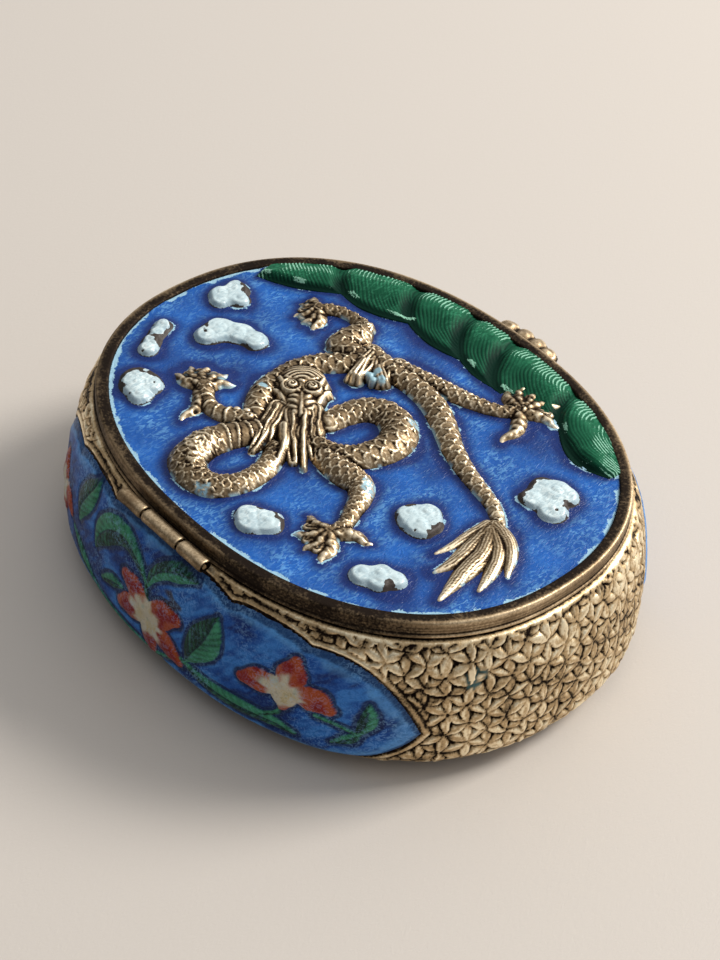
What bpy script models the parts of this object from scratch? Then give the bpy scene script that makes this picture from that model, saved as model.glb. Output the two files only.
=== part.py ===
"""Oval brass box with enamelled sides and a dragon in relief on its hinged lid.

The box stands on its flat underside. +X runs along the box, -Y is the front with the
thumb piece, +Y is the back with the hinge, and +Z is up. The origin is the middle of
the underside. All sizes are in metres.
"""

import math

import bmesh
import bpy
from mathutils import Matrix, Vector

MM = 0.001

# Plan of the box: a superellipse, where a power of 2 would be a plain ellipse
LID_HALF_LENGTH = 35.0 * MM
LID_HALF_WIDTH = 28.1 * MM
OUTLINE_POWER = 2.24
OUTLINE_SIDES = 56

# Space left between pieces that touch in the real box
GAP = 0.3 * MM

# Points of one outline closer than this are one point
WELD = 0.005 * MM

# Body: a bowl that swells below its mouth and curves in to a flat underside
BOX_HEIGHT = 22.0 * MM
BULGE = 3.5 * MM
BULGE_HEIGHT = 3.7 * MM
FOOT_INSET = 5.0 * MM
WALL = 1.2 * MM
FLOOR = 1.2 * MM
RIM_LAND = 1.5 * MM

# Lid: a flat plate with a raised frame round a sunk field
LID_THICKNESS = 2.1 * MM
FRAME_WIDTH = 1.6 * MM
LIP_OUT = 0.25 * MM
LIP_HEIGHT = 0.4 * MM
FRAME_EASE = 0.15 * MM
ENAMEL_SINK = 0.25 * MM
SKY_THICKNESS = 0.5 * MM

# Relief on the lid
DRAGON_FLATNESS = 0.72
DRAGON_SINK = 0.1 * MM
DRAGON_ROOT = 0.75 * MM
CLOUD_RISE = 0.9 * MM
WAVE_RISE = 0.7 * MM

# Side panels: enamel pillows let into the body. The panel's ends bend round a
# shoulder above the tip and a corner below it.
PANEL_THICKNESS = 0.5 * MM
PANEL_PROUD = 0.3 * MM
PANEL_HALF_LENGTH = 32.3 * MM
PANEL_TIP_HEIGHT = 7.6 * MM
PANEL_FOOT_HEIGHT = 2.1 * MM
PANEL_FOOT_HALF_LENGTH = 22.0 * MM
MIDDLE_CUSP = 10.8 * MM
OUTER_CUSP = 21.0 * MM
MIDDLE_CUSP_DROP = 2.0 * MM
OUTER_CUSP_DROP = 2.7 * MM
PANEL_TOP_DROP = 0.75 * MM
OUTER_LOBE_DROP = 0.4 * MM
PANEL_SHOULDER = (28.715 * MM, 17.9 * MM)
PANEL_CORNER = 30.3 * MM
PANEL_CUT_START = 4.0 * MM
PANEL_CUT_END = 35.1 * MM

# Hinge at the back, in the seam
HINGE_CENTRE = 1.0 * MM
KNUCKLE_RADIUS = 0.8 * MM
KNUCKLE_LENGTH = 4.3 * MM
LID_KNUCKLE_LENGTH = 6.2 * MM
PIN_RADIUS = 0.3 * MM
PIN_CLEARANCE = 0.09 * MM
HINGE_RISE = 0.8 * MM
KNUCKLE_SIDES = 12

# Thumb piece at the front of the lid
THUMB_HALF_LENGTH = 5.1 * MM
THUMB_REACH = 2.3 * MM
THUMB_THICKNESS = 1.1 * MM
THUMB_ROOT = 0.45 * THUMB_REACH
THUMB_ROOT_SHARE = 0.9

# Pieces that open with the lid, by the start of their names
MOVING_PIECES = ("lid", "thumb_piece", "sky_enamel", "wave_enamel", "cloud_")

# The lid picture was drawn on a field of this half length and half width
PICTURE_HALF_LENGTH = 33.4 * MM
PICTURE_HALF_WIDTH = 26.5 * MM

# Heights that follow from the sizes above
SEAM_HEIGHT = BOX_HEIGHT - LID_THICKNESS - GAP
LID_UNDERSIDE = BOX_HEIGHT - LID_THICKNESS
SKY_TOP = BOX_HEIGHT - ENAMEL_SINK
SKY_BOTTOM = SKY_TOP - SKY_THICKNESS
FIELD_FLOOR = SKY_BOTTOM - GAP
DRAGON_LEVEL = SKY_TOP - DRAGON_SINK
FIELD_HALF_LENGTH = LID_HALF_LENGTH - FRAME_WIDTH
FIELD_HALF_WIDTH = LID_HALF_WIDTH - FRAME_WIDTH
HINGE_Y = LID_HALF_WIDTH + LIP_OUT + GAP + KNUCKLE_RADIUS
HINGE_Z = SEAM_HEIGHT + HINGE_RISE

for leftover in list(bpy.data.objects):
    bpy.data.objects.remove(leftover)


def new_collection(name):
    """Adds a collection to the scene."""
    collection = bpy.data.collections.new(name)
    bpy.context.scene.collection.children.link(collection)
    return collection


PARTS = new_collection("enamelled_box")
GUIDES = new_collection("cutters")
RELIEF = new_collection("dragon_relief")
SKY_CUTS = new_collection("sky_cuts")
WAVE_CUTS = new_collection("wave_cuts")
BODY_CUTS = new_collection("body_cuts")


def finish_material(name, colour, roughness, metallic):
    """A plain Principled material."""
    material = bpy.data.materials.new(name)
    material.use_nodes = True
    shader = material.node_tree.nodes["Principled BSDF"]
    shader.inputs["Base Color"].default_value = (*colour, 1.0)
    shader.inputs["Roughness"].default_value = roughness
    shader.inputs["Metallic"].default_value = metallic
    return material


BRASS = finish_material("aged_brass", (0.42, 0.28, 0.12), 0.42, 1.0)
LID_BRASS = finish_material("relief_brass", (0.36, 0.25, 0.13), 0.45, 1.0)
SKY_BLUE = finish_material("sky_blue_enamel", (0.04, 0.15, 0.52), 0.3, 0.0)
PANEL_BLUE = finish_material("panel_blue_enamel", (0.07, 0.2, 0.5), 0.3, 0.0)
CLOUD_WHITE = finish_material("cloud_white_enamel", (0.7, 0.82, 0.86), 0.35, 0.0)
WAVE_GREEN = finish_material("wave_green_enamel", (0.02, 0.22, 0.12), 0.3, 0.0)
PIN_WIRE = finish_material("pin_wire", (0.35, 0.27, 0.16), 0.4, 1.0)


def link_mesh(name, mesh, collection, material=None):
    """Makes an object from a mesh. What isn't a part is a hidden guide."""
    thing = bpy.data.objects.new(name, mesh)
    collection.objects.link(thing)
    if material is not None:
        mesh.materials.append(material)
    if collection is not PARTS:
        thing.hide_render = True
        thing.display_type = "WIRE"
    return thing


def boolean(target, operation, other):
    """Adds an exact Boolean against one object or a whole collection."""
    modifier = target.modifiers.new(operation.lower(), "BOOLEAN")
    modifier.operation = operation
    modifier.solver = "EXACT"
    if isinstance(other, bpy.types.Collection):
        modifier.operand_type = "COLLECTION"
        modifier.collection = other
    else:
        modifier.object = other
    return target


def signed_power(value, power):
    """value to a power, with its sign kept."""
    return math.copysign(abs(value) ** power, value)


def oval(offset, height, sides=OUTLINE_SIDES):
    """The lid's outline, grown by offset, as a ring of points at a height."""
    ring = []
    for index in range(sides):
        turn = math.tau * index / sides
        along = signed_power(math.cos(turn), 2 / OUTLINE_POWER)
        across = signed_power(math.sin(turn), 2 / OUTLINE_POWER)
        ring.append(
            Vector(
                (
                    (LID_HALF_LENGTH + offset) * along,
                    (LID_HALF_WIDTH + offset) * across,
                    height,
                )
            )
        )
    return ring


def loft(name, rings, collection, material=None):
    """A closed solid through rings of equal count, with a flat cap at each end."""
    shape = bmesh.new()
    loops = [[shape.verts.new(point) for point in ring] for ring in rings]
    for lower, upper in zip(loops, loops[1:]):
        for index in range(len(lower)):
            after = (index + 1) % len(lower)
            shape.faces.new((lower[index], lower[after], upper[after], upper[index]))
    shape.faces.new(list(reversed(loops[0])))
    shape.faces.new(loops[-1])
    bmesh.ops.recalc_face_normals(shape, faces=shape.faces)
    mesh = bpy.data.meshes.new(name)
    shape.to_mesh(mesh)
    shape.free()
    mesh.shade_smooth()
    mesh.set_sharp_from_angle(angle=math.radians(35))
    return link_mesh(name, mesh, collection, material)


def mesh_of_curve(name, curve, collection, material=None):
    """Turns a curve into a welded mesh object."""
    holder = bpy.data.objects.new(name + "_curve", curve)
    bpy.context.scene.collection.objects.link(holder)
    bpy.context.view_layer.update()
    seen = holder.evaluated_get(bpy.context.evaluated_depsgraph_get())
    mesh = bpy.data.meshes.new_from_object(seen)
    mesh.name = name
    bpy.data.objects.remove(holder)
    bpy.data.curves.remove(curve)
    shape = bmesh.new()
    shape.from_mesh(mesh)
    bmesh.ops.remove_doubles(shape, verts=shape.verts, dist=WELD)
    bmesh.ops.recalc_face_normals(shape, faces=shape.faces)
    shape.to_mesh(mesh)
    shape.free()
    mesh.materials.clear()
    return link_mesh(name, mesh, collection, material)


def flat_piece(name, outline, bottom, top, collection, material=None):
    """A flat outline in plan, extruded between two heights."""
    curve = bpy.data.curves.new(name, "CURVE")
    curve.dimensions = "2D"
    curve.fill_mode = "BOTH"
    curve.extrude = (top - bottom) / 2
    spline = curve.splines.new("POLY")
    spline.points.add(len(outline) - 1)
    for point, (x, y) in zip(spline.points, outline):
        point.co = (x, y, 0, 1)
    spline.use_cyclic_u = True
    piece = mesh_of_curve(name, curve, collection, material)
    piece.data.transform(Matrix.Translation((0, 0, (top + bottom) / 2)))
    return piece


def grow(outline, distance):
    """Moves each point of a counter-clockwise outline outwards."""
    grown = []
    for index, here in enumerate(outline):
        before = Vector(outline[index - 1])
        after = Vector(outline[(index + 1) % len(outline)])
        run = (after - before).normalized()
        grown.append((here[0] + run.y * distance, here[1] - run.x * distance))
    return grown


def on_lid(x, y):
    """A point of the lid picture, given in millimetres of its drawing."""
    return (
        x * MM / PICTURE_HALF_LENGTH * FIELD_HALF_LENGTH,
        y * MM / PICTURE_HALF_WIDTH * FIELD_HALF_WIDTH,
    )


def smooth_run(stations, steps):
    """Points of x, y and radius on a smooth curve through the stations."""
    points = []
    last = len(stations) - 1
    for index in range(last):
        a = Vector(stations[max(index - 1, 0)])
        b = Vector(stations[index])
        c = Vector(stations[index + 1])
        d = Vector(stations[min(index + 2, last)])
        for step in range(steps):
            t = step / steps
            points.append(
                b
                + (c - a) * (0.5 * t)
                + (a * 2 - b * 5 + c * 4 - d) * (0.5 * t * t)
                + (b * 3 - a - c * 3 + d) * (0.5 * t * t * t)
            )
    points.append(Vector(stations[last]))
    return points


def sides_of(run):
    """The unit vector across each point of a run of x, y and radius."""
    across = []
    for index in range(len(run)):
        before = run[max(index - 1, 0)]
        after = run[min(index + 1, len(run) - 1)]
        along = Vector((after.x - before.x, after.y - before.y)).normalized()
        across.append(Vector((-along.y, along.x)))
    return across


def strand(name, stations, section, collection, extra=0.0, steps=1):
    """One limb, coil or lock of the dragon, lofted from an arched section.

    A section holds points of share across, share of the arch's height and share
    of the root's depth. The root is as deep on a thin tip as on a thick coil.
    """
    run = smooth_run(stations, steps)
    rings = []
    for (x, y, radius), across in zip(run, sides_of(run)):
        centre = Vector(on_lid(x, y))
        half_width = radius * MM + extra
        ring = []
        for share, arch, root in section:
            place = centre + across * (share * half_width)
            rise = arch * DRAGON_FLATNESS * half_width - root * DRAGON_ROOT
            ring.append(Vector((*place, DRAGON_LEVEL + rise)))
        rings.append(ring)
    return loft(name, rings, collection)


def lump(name, place, layers, collection):
    """A rounded mass of the dragon, lofted through shrinking ovals."""
    x, y, rise, half_length, half_width, half_height, turn = place
    centre = Vector(on_lid(x, y))
    turned = Matrix.Rotation(math.radians(turn), 2)
    rings = []
    for share, arch, root in layers:
        height = (rise + half_height) * MM * arch - root * DRAGON_ROOT
        ring = []
        for index in range(LUMP_SIDES):
            angle = math.tau * index / LUMP_SIDES
            along = half_length * MM * share * math.cos(angle)
            across = half_width * MM * share * math.sin(angle)
            point = centre + turned @ Vector((along, across))
            ring.append(Vector((*point, DRAGON_LEVEL + height)))
        rings.append(ring)
    return loft(name, rings, collection)


# Arched sections: shares across, of the arch's height and of the root's depth
ROUND_SECTION = [
    (1.0, 0.0, 1.0), (1.0, 0.0, 0.0), (0.72, 0.7, 0.0), (0.0, 1.0, 0.0),
    (-0.72, 0.7, 0.0), (-1.0, 0.0, 0.0), (-1.0, 0.0, 1.0),
]
LOCK_SECTION = [
    (1.0, 0.0, 1.0), (1.0, 0.1, 0.0), (0.0, 1.0, 0.0), (-1.0, 0.1, 0.0), (-1.0, 0.0, 1.0),
]
CLEARANCE_SECTION = [(1.0, 0.0, 1.2), (1.0, 0.0, -1.0), (-1.0, 0.0, -1.0), (-1.0, 0.0, 1.2)]

# Layers of a rounded mass, from its root up
ROUND_LAYERS = [(1.0, 0.0, 1.0), (1.0, 0.2, 0.0), (0.86, 0.62, 0.0), (0.5, 0.94, 0.0)]
LUMP_SIDES = 12
CLUSTER_SIDES = 12
CLUSTER_MARGIN = 1.2 * GAP


# The dragon, in millimetres of the picture: x, y and half thickness along each run
BODY_RUNS = {
    "upper_coil": [
        (2.6, 11.3, 1.4), (1.0, 13.6, 1.6), (0.4, 16.2, 1.7), (0.6, 19.0, 1.8),
        (2.2, 21.4, 2.1), (4.8, 22.0, 2.3), (7.2, 20.9, 2.5), (8.1, 18.3, 2.5),
        (7.9, 15.4, 2.4), (6.9, 12.6, 2.1), (6.2, 9.8, 1.7),
    ],
    "lower_coil": [
        (1.2, 6.8, 1.6), (-1.6, 6.8, 1.9), (-4.2, 5.0, 2.1), (-5.4, 2.0, 2.4),
        (-5.3, -0.9, 2.5), (-3.6, -3.0, 2.5), (-0.9, -3.5, 2.4), (1.3, -2.0, 2.2),
        (2.2, 0.6, 2.0), (2.4, 3.2, 1.8),
    ],
    "shoulder": [
        (8.0, 9.8, 1.4), (10.0, 8.0, 1.7), (11.6, 5.4, 1.9), (12.2, 2.4, 1.9),
        (12.3, -0.4, 1.9), (11.5, -3.2, 1.9), (9.8, -5.8, 1.9), (8.0, -8.4, 1.9),
    ],
    "tail": [
        (9.0, -9.8, 1.9), (5.0, -9.6, 1.9), (1.0, -10.0, 1.9), (-3.0, -9.4, 1.9),
        (-6.5, -7.8, 1.8), (-10.0, -5.8, 1.6), (-13.5, -4.4, 1.4), (-17.0, -3.4, 1.25),
        (-20.5, -2.4, 1.1), (-23.4, -0.6, 0.9),
    ],
    "fore_thigh": [(8.0, -8.6, 1.7), (12.2, -8.0, 2.3), (12.8, -10.8, 2.3), (13.2, -12.6, 1.5)],
}

# Each leg ends in its foot, and the toes start there
LEG_RUNS = {
    "front_leg": [
        (5.0, -10.8, 1.6), (1.5, -11.6, 1.6), (-2.0, -12.6, 1.5),
        (-5.5, -13.6, 1.3), (-8.5, -15.0, 1.1), (-10.6, -17.2, 1.2),
    ],
    "right_leg": [(13.4, -12.9, 1.3), (16.2, -13.0, 1.0), (18.4, -12.2, 1.1), (19.8, -10.6, 1.3)],
    "left_leg": [
        (-2.5, 7.6, 1.9), (-5.5, 7.7, 2.1), (-8.2, 7.6, 1.9), (-9.9, 8.9, 1.5),
        (-11.1, 11.2, 1.2), (-12.2, 13.5, 1.0), (-12.2, 15.6, 1.1),
    ],
    "back_leg": [
        (8.4, 10.6, 1.6), (10.3, 11.8, 1.5), (12.4, 12.7, 1.3),
        (14.6, 12.2, 1.2), (16.6, 10.9, 1.4),
    ],
}
TOE_TIPS = {
    "front_leg": [
        (-15.2, -18.8), (-12.4, -21.9), (-9.8, -22.5), (-7.0, -21.5), (-6.1, -18.9), (-13.0, -11.2),
    ],
    "right_leg": [(17.2, -7.2), (18.9, -6.8), (20.8, -7.2), (22.4, -9.5), (22.5, -11.9)],
    "left_leg": [(-15.0, 19.5), (-12.4, 19.8), (-9.8, 19.1), (-8.4, 15.8), (-16.4, 13.0)],
    "back_leg": [(20.9, 12.1), (20.9, 9.8), (19.5, 8.1), (16.8, 7.1), (13.4, 17.0), (14.6, 7.6)],
}
TOE_ROOT_RADIUS = 0.95
TOE_KNUCKLE_RADIUS = 0.71
TOE_TIP_RADIUS = 0.28
TOE_START = 0.15
TOE_KNUCKLE = 0.55
TOE_ARCH = 0.12

# Locks of mane, whiskers, belly hair and the flames of the tail
LOCK_RUNS = {
    "long_whisker": [(4.6, 5.0, 0.9), (2.6, 6.9, 0.7), (0.4, 8.9, 0.6), (-2.8, 11.5, 0.35)],
    "short_whisker": [(4.2, 8.6, 0.9), (2.0, 10.4, 0.8), (0.8, 12.2, 0.65), (-0.5, 14.2, 0.4)],
    "mane_left": [(4.8, 3.6, 1.5), (2.4, 5.8, 1.5), (0.4, 7.4, 1.2), (-1.6, 8.6, 0.6)],
    "mane_middle": [(5.6, 6.0, 1.4), (3.2, 8.2, 1.4), (1.2, 9.8, 1.1), (-0.6, 11.2, 0.5)],
    "mane_right": [(7.6, 6.6, 1.5), (6.0, 9.4, 1.5), (4.6, 12.0, 1.1), (3.8, 13.8, 0.5)],
    "belly_lock": [(6.4, -4.6, 0.6), (7.6, -7.2, 0.8), (9.0, -10.4, 0.5)],
    "belly_tuft": [(3.6, -6.8, 0.5), (5.6, -8.0, 0.9), (7.4, -9.6, 0.8)],
    "tail_flame_1": [(-23.0, -0.2, 0.9), (-25.4, 0.4, 1.0), (-27.6, 1.9, 0.8), (-29.7, 4.5, 0.25)],
    "tail_flame_2": [(-23.3, 0.6, 0.9), (-26.2, 2.6, 1.0), (-28.0, 5.2, 0.8), (-29.3, 8.5, 0.25)],
    "tail_flame_3": [
        (-23.4, 1.0, 0.9), (-25.4, 4.2, 1.2), (-26.3, 8.0, 1.0), (-27.6, 13.0, 0.25),
    ],
    "tail_flame_4": [(-22.9, 1.0, 0.8), (-23.9, 4.6, 1.0), (-24.4, 7.6, 0.8), (-24.1, 10.5, 0.25)],
    "tail_flame_5": [(-22.4, 0.4, 0.8), (-22.3, 3.2, 0.7), (-22.3, 5.8, 0.5), (-22.0, 8.3, 0.2)],
}

# Rounded masses: x, y, rise, half length, half width, half height and turn in degrees
HEAD_LUMPS = {
    "skull": (9.0, 2.0, 0.4, 3.6, 3.3, 2.2, 125),
    "snout": (5.6, 4.9, 0.4, 3.0, 2.0, 1.8, 137),
    "nose": (3.8, 6.3, 0.7, 1.3, 1.1, 1.3, 137),
    "left_eye": (7.2, 1.6, 1.9, 1.0, 1.0, 0.9, 0),
    "right_eye": (9.3, 3.2, 1.9, 1.0, 1.0, 0.9, 0),
    "jaw": (5.4, 2.0, 0.0, 3.2, 1.1, 1.4, 118),
}


def toe_run(leg, tip):
    """A toe from the foot to its claw tip, arched a little to one side."""
    foot = Vector(LEG_RUNS[leg][-1][:2])
    end = Vector(tip)
    reach = end - foot
    side = Vector((-reach.y, reach.x)) * TOE_ARCH
    return [
        (*(foot + reach * TOE_START), TOE_ROOT_RADIUS),
        (*(foot + reach * TOE_KNUCKLE + side), TOE_KNUCKLE_RADIUS),
        (*end, TOE_TIP_RADIUS),
    ]


def dragon_figure():
    """Every run and mass of the dragon, as solids for the lid to take up."""
    for name, stations in BODY_RUNS.items():
        strand(name, stations, ROUND_SECTION, RELIEF, steps=2)
    for name, stations in LEG_RUNS.items():
        strand(name, stations, ROUND_SECTION, RELIEF)
    for name, stations in LOCK_RUNS.items():
        strand(name, stations, LOCK_SECTION, RELIEF)
    for leg, tips in TOE_TIPS.items():
        for index, tip in enumerate(tips, 1):
            strand(f"{leg}_toe_{index}", toe_run(leg, tip), LOCK_SECTION, RELIEF)
    for name, place in HEAD_LUMPS.items():
        lump(name, place, ROUND_LAYERS, RELIEF)


def hull(points):
    """The points of a set that lie on its convex outline, counter-clockwise."""
    ordered = sorted(set(points))
    outline = []
    for side in (ordered, list(reversed(ordered))):
        chain = []
        for point in side:
            while len(chain) > 1 and turns_right(chain[-2], chain[-1], point):
                chain.pop()
            chain.append(point)
        outline += chain[:-1]
    return outline


def turns_right(first, second, third):
    """Whether three points in a row turn to the right, or run straight on."""
    run = (second[0] - first[0], second[1] - first[1])
    rest = (third[0] - first[0], third[1] - first[1])
    return run[0] * rest[1] - run[1] * rest[0] <= 0


def cluster_outline(stations):
    """One outline round a cluster of x, y and radius, grown by the gap."""
    corners = []
    for x, y, radius in stations:
        centre = Vector(on_lid(x, y))
        reach = radius * MM + CLUSTER_MARGIN
        for index in range(CLUSTER_SIDES):
            angle = math.tau * index / CLUSTER_SIDES
            offset = Vector((math.cos(angle), math.sin(angle))) * reach
            corners.append(tuple(centre + offset))
    return hull(corners)


def lump_stations(place):
    """The two ends of a rounded mass, as x, y and radius."""
    x, y, _, half_length, half_width, _, turn = place
    reach = max(half_length - half_width, 0)
    offset = Vector((math.cos(math.radians(turn)), math.sin(math.radians(turn)))) * reach
    return [(x + offset.x, y + offset.y, half_width), (x - offset.x, y - offset.y, half_width)]


def foot_stations(leg):
    """The foot of a leg and all its toes, for one outline round them."""
    stations = [LEG_RUNS[leg][-1]]
    for tip in TOE_TIPS[leg]:
        stations += toe_run(leg, tip)
    return stations


def dragon_clearance():
    """The dragon's plan, grown by the gap, to cut out of the enamel."""
    low, high = SKY_BOTTOM - GAP, SKY_TOP + GAP
    for name, stations in BODY_RUNS.items():
        strand(name + "_clearance", stations, CLEARANCE_SECTION, SKY_CUTS, GAP, steps=2)
    for name, stations in LEG_RUNS.items():
        strand(name + "_clearance", stations, CLEARANCE_SECTION, SKY_CUTS, GAP)
    clusters = {leg + "_foot": foot_stations(leg) for leg in LEG_RUNS}
    flames = [name for name in LOCK_RUNS if name.startswith("tail_flame")]
    clusters["tail_flames"] = [station for name in flames for station in LOCK_RUNS[name]]
    head = [station for place in HEAD_LUMPS.values() for station in lump_stations(place)]
    for name in ("mane_left", "mane_middle", "mane_right", "long_whisker", "short_whisker"):
        head += LOCK_RUNS[name]
    clusters["head"] = head + [BODY_RUNS["lower_coil"][0], BODY_RUNS["lower_coil"][-1]]
    clusters["belly"] = LOCK_RUNS["belly_lock"] + LOCK_RUNS["belly_tuft"]
    for name, stations in clusters.items():
        flat_piece(name + "_clearance", cluster_outline(stations), low, high, SKY_CUTS)


# Clouds: x, y, half length, half width, turn in degrees and number of puffs
CLOUDS = [
    (-5.5, 21.0, 3.1, 2.5, 0, 5),
    (-20.8, 15.9, 3.6, 2.4, 38, 5),
    (-16.8, 6.0, 3.2, 3.0, 0, 5),
    (-23.8, -8.6, 4.1, 3.6, -10, 6),
    (21.5, 17.0, 3.3, 2.6, -20, 5),
    (28.1, 9.7, 4.1, 1.9, -58, 5),
    (22.8, 2.0, 4.9, 3.4, 42, 6),
    (29.2, -3.4, 3.6, 2.6, -25, 5),
]
PUFF_DEPTH = 0.1
PUFF_SWELL = 0.16
CLOUD_SIDES = 12
CLOUD_SHOULDER = 0.45
CLOUD_CROWN = 0.7


def cloud_ring(cloud, height, share, spread):
    """A puffy outline at a height, shrunk to a share and then grown by spread."""
    x, y, half_length, half_width, turn, puffs = cloud
    centre = Vector((*on_lid(x, y), height))
    turned = Matrix.Rotation(math.radians(turn), 3, "Z")
    ring = []
    for index in range(CLOUD_SIDES):
        angle = math.tau * index / CLOUD_SIDES
        puff = 1 - PUFF_DEPTH + PUFF_SWELL * abs(math.cos(puffs * angle / 2))
        along = (half_length * MM * share * puff + spread) * math.cos(angle)
        across = (half_width * MM * share * puff + spread) * math.sin(angle)
        ring.append(centre + turned @ Vector((along, across, 0)))
    return ring


def make_cloud(name, cloud):
    """A domed cloud of white enamel, and its clearance through the sky."""
    rings = [
        cloud_ring(cloud, SKY_BOTTOM, 1.0, 0),
        cloud_ring(cloud, SKY_TOP + CLOUD_SHOULDER * CLOUD_RISE, 1.0, 0),
        cloud_ring(cloud, SKY_TOP + CLOUD_RISE, CLOUD_CROWN, 0),
    ]
    loft(name, rings, PARTS, CLOUD_WHITE)
    reach = CLOUD_RISE + GAP
    clearance = [
        cloud_ring(cloud, SKY_BOTTOM - GAP, 1.0, GAP),
        cloud_ring(cloud, SKY_TOP + reach, 1.0, GAP),
    ]
    loft(name + "_clearance", clearance, SKY_CUTS)


# Inner edge of the waves: scallops between cusps, with how far each swells
WAVE_CUSPS = [
    (-25.4, -17.0, 2.1), (-15.5, -18.6, 0.3), (-4.9, -17.7, 0.5), (1.6, -18.3, 0.9),
    (11.0, -18.1, 1.1), (20.8, -15.2, 0.8), (30.3, -8.9, 0.0),
]
SCALLOP_STEPS = 5
WAVE_STEPS = 22


def wave_inner_edge(spread):
    """The scalloped edge from left to right, moved inwards by spread."""
    edge = []
    for (x0, y0, swell), (x1, y1, _) in zip(WAVE_CUSPS, WAVE_CUSPS[1:]):
        start = Vector((x0, y0))
        run = Vector((x1, y1)) - start
        side = Vector((-run.y, run.x)).normalized()
        for step in range(SCALLOP_STEPS):
            share = step / SCALLOP_STEPS
            edge.append(start + run * share + side * swell * math.sin(math.pi * share))
    edge.append(Vector(WAVE_CUSPS[-1][:2]))
    lift = spread / MM
    return [on_lid(point.x, point.y + lift) for point in edge]


def wave_outline(outer_offset, spread):
    """The band of waves: its scalloped edge, closed along the lid's outline."""
    inner = wave_inner_edge(spread)
    first = math.atan2(inner[0][1] / LID_HALF_WIDTH, inner[0][0] / LID_HALF_LENGTH)
    last = math.atan2(inner[-1][1] / LID_HALF_WIDTH, inner[-1][0] / LID_HALF_LENGTH)
    outer = []
    for step in range(WAVE_STEPS + 1):
        angle = first + (last - first) * step / WAVE_STEPS
        outer.append(oval_reach(angle, outer_offset))
    return outer + list(reversed(inner))


def oval_reach(angle, offset):
    """The point of the grown outline that lies at an angle of the unit oval."""
    c = abs(math.cos(angle))
    s = abs(math.sin(angle))
    scale = (c**OUTLINE_POWER + s**OUTLINE_POWER) ** (-1 / OUTLINE_POWER)
    return (
        (LID_HALF_LENGTH + offset) * math.cos(angle) * scale,
        (LID_HALF_WIDTH + offset) * math.sin(angle) * scale,
    )


def body_profile(shift):
    """Offset and height down the outside of the body, moved outwards by shift."""
    stations = []
    for degrees in (90, 75, 60, 43, 22, -8, -40, -90):
        turn = math.radians(degrees)
        if degrees > 0:
            reach, depth = BULGE, SEAM_HEIGHT - BULGE_HEIGHT
            offset = reach * math.cos(turn)
        else:
            reach, depth = BULGE + FOOT_INSET, BULGE_HEIGHT
            offset = reach * math.cos(turn) - FOOT_INSET
        height = BULGE_HEIGHT + depth * math.sin(turn)
        normal = Vector((math.cos(turn) / reach, math.sin(turn) / depth)).normalized()
        stations.append((offset + shift * normal.x, height + shift * normal.y))
    return stations


def make_body():
    """The brass bowl: up its outside, across the rim and down its inside."""
    outside = [oval(offset, height) for offset, height in reversed(body_profile(0))]
    inside = []
    mouth = -RIM_LAND
    for degrees in (90, 68, 44, 20, -20, -50, -90):
        turn = math.radians(degrees)
        if degrees > 0:
            offset = mouth + (BULGE - WALL - mouth) * math.cos(turn)
            height = BULGE_HEIGHT + (SEAM_HEIGHT - BULGE_HEIGHT) * math.sin(turn)
        else:
            low_reach = BULGE - WALL + FOOT_INSET
            offset = low_reach * math.cos(turn) - FOOT_INSET
            height = BULGE_HEIGHT + (BULGE_HEIGHT - FLOOR) * math.sin(turn)
        inside.append(oval(offset, height))
    body = loft("box_body", outside + inside, PARTS, BRASS)
    return boolean(body, "DIFFERENCE", BODY_CUTS)


def body_solid(name, shift):
    """The body's outer form as a filled solid, moved outwards by shift."""
    rings = [oval(offset, height) for offset, height in reversed(body_profile(shift))]
    return loft(name, rings, GUIDES)


def lobe(start, end, swell, steps=5):
    """Points from start up to, but not with, end, on an even swelling curve."""
    run = Vector(end) - Vector(start)
    side = Vector((-run.y, run.x)).normalized()
    points = []
    for step in range(steps):
        share = step / steps
        rise = swell * (1 - abs(2 * share - 1) ** 3)
        points.append(tuple(Vector(start) + run * share + side * rise))
    return points


def bend(start, corner, end, steps=6):
    """Points from start up to, but not with, end, on a curve drawn to a corner."""
    a, b, c = Vector(start), Vector(corner), Vector(end)
    points = []
    for step in range(steps):
        t = step / steps
        points.append(tuple(a * (1 - t) ** 2 + b * (2 * t * (1 - t)) + c * t * t))
    return points


def panel_outline():
    """One side panel in x and z, counter-clockwise from its lower right corner."""
    top = SEAM_HEIGHT - PANEL_TOP_DROP
    middle = (MIDDLE_CUSP, SEAM_HEIGHT - MIDDLE_CUSP_DROP)
    outer = (OUTER_CUSP, SEAM_HEIGHT - OUTER_CUSP_DROP)
    tip = (PANEL_HALF_LENGTH, PANEL_TIP_HEIGHT)
    foot = (PANEL_FOOT_HALF_LENGTH, PANEL_FOOT_HEIGHT)
    left_middle = (-middle[0], middle[1])
    half = bend(foot, (PANEL_CORNER, foot[1]), tip)
    half += bend(tip, PANEL_SHOULDER, outer)
    half += lobe(outer, middle, top - middle[1] - OUTER_LOBE_DROP)
    across = lobe(middle, left_middle, top - middle[1])
    return half + across + [left_middle] + [(-x, z) for x, z in reversed(half)]


def panel_prism(name, outline, side, collection):
    """The panel's outline driven into the body from the front or the back."""
    prism = flat_piece(name, outline, PANEL_CUT_START, PANEL_CUT_END, collection)
    turn = Matrix.Rotation(math.radians(90), 4, "X")
    if side > 0:
        turn = Matrix.Rotation(math.radians(180), 4, "Z") @ turn
    prism.data.transform(turn)
    return prism


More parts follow.
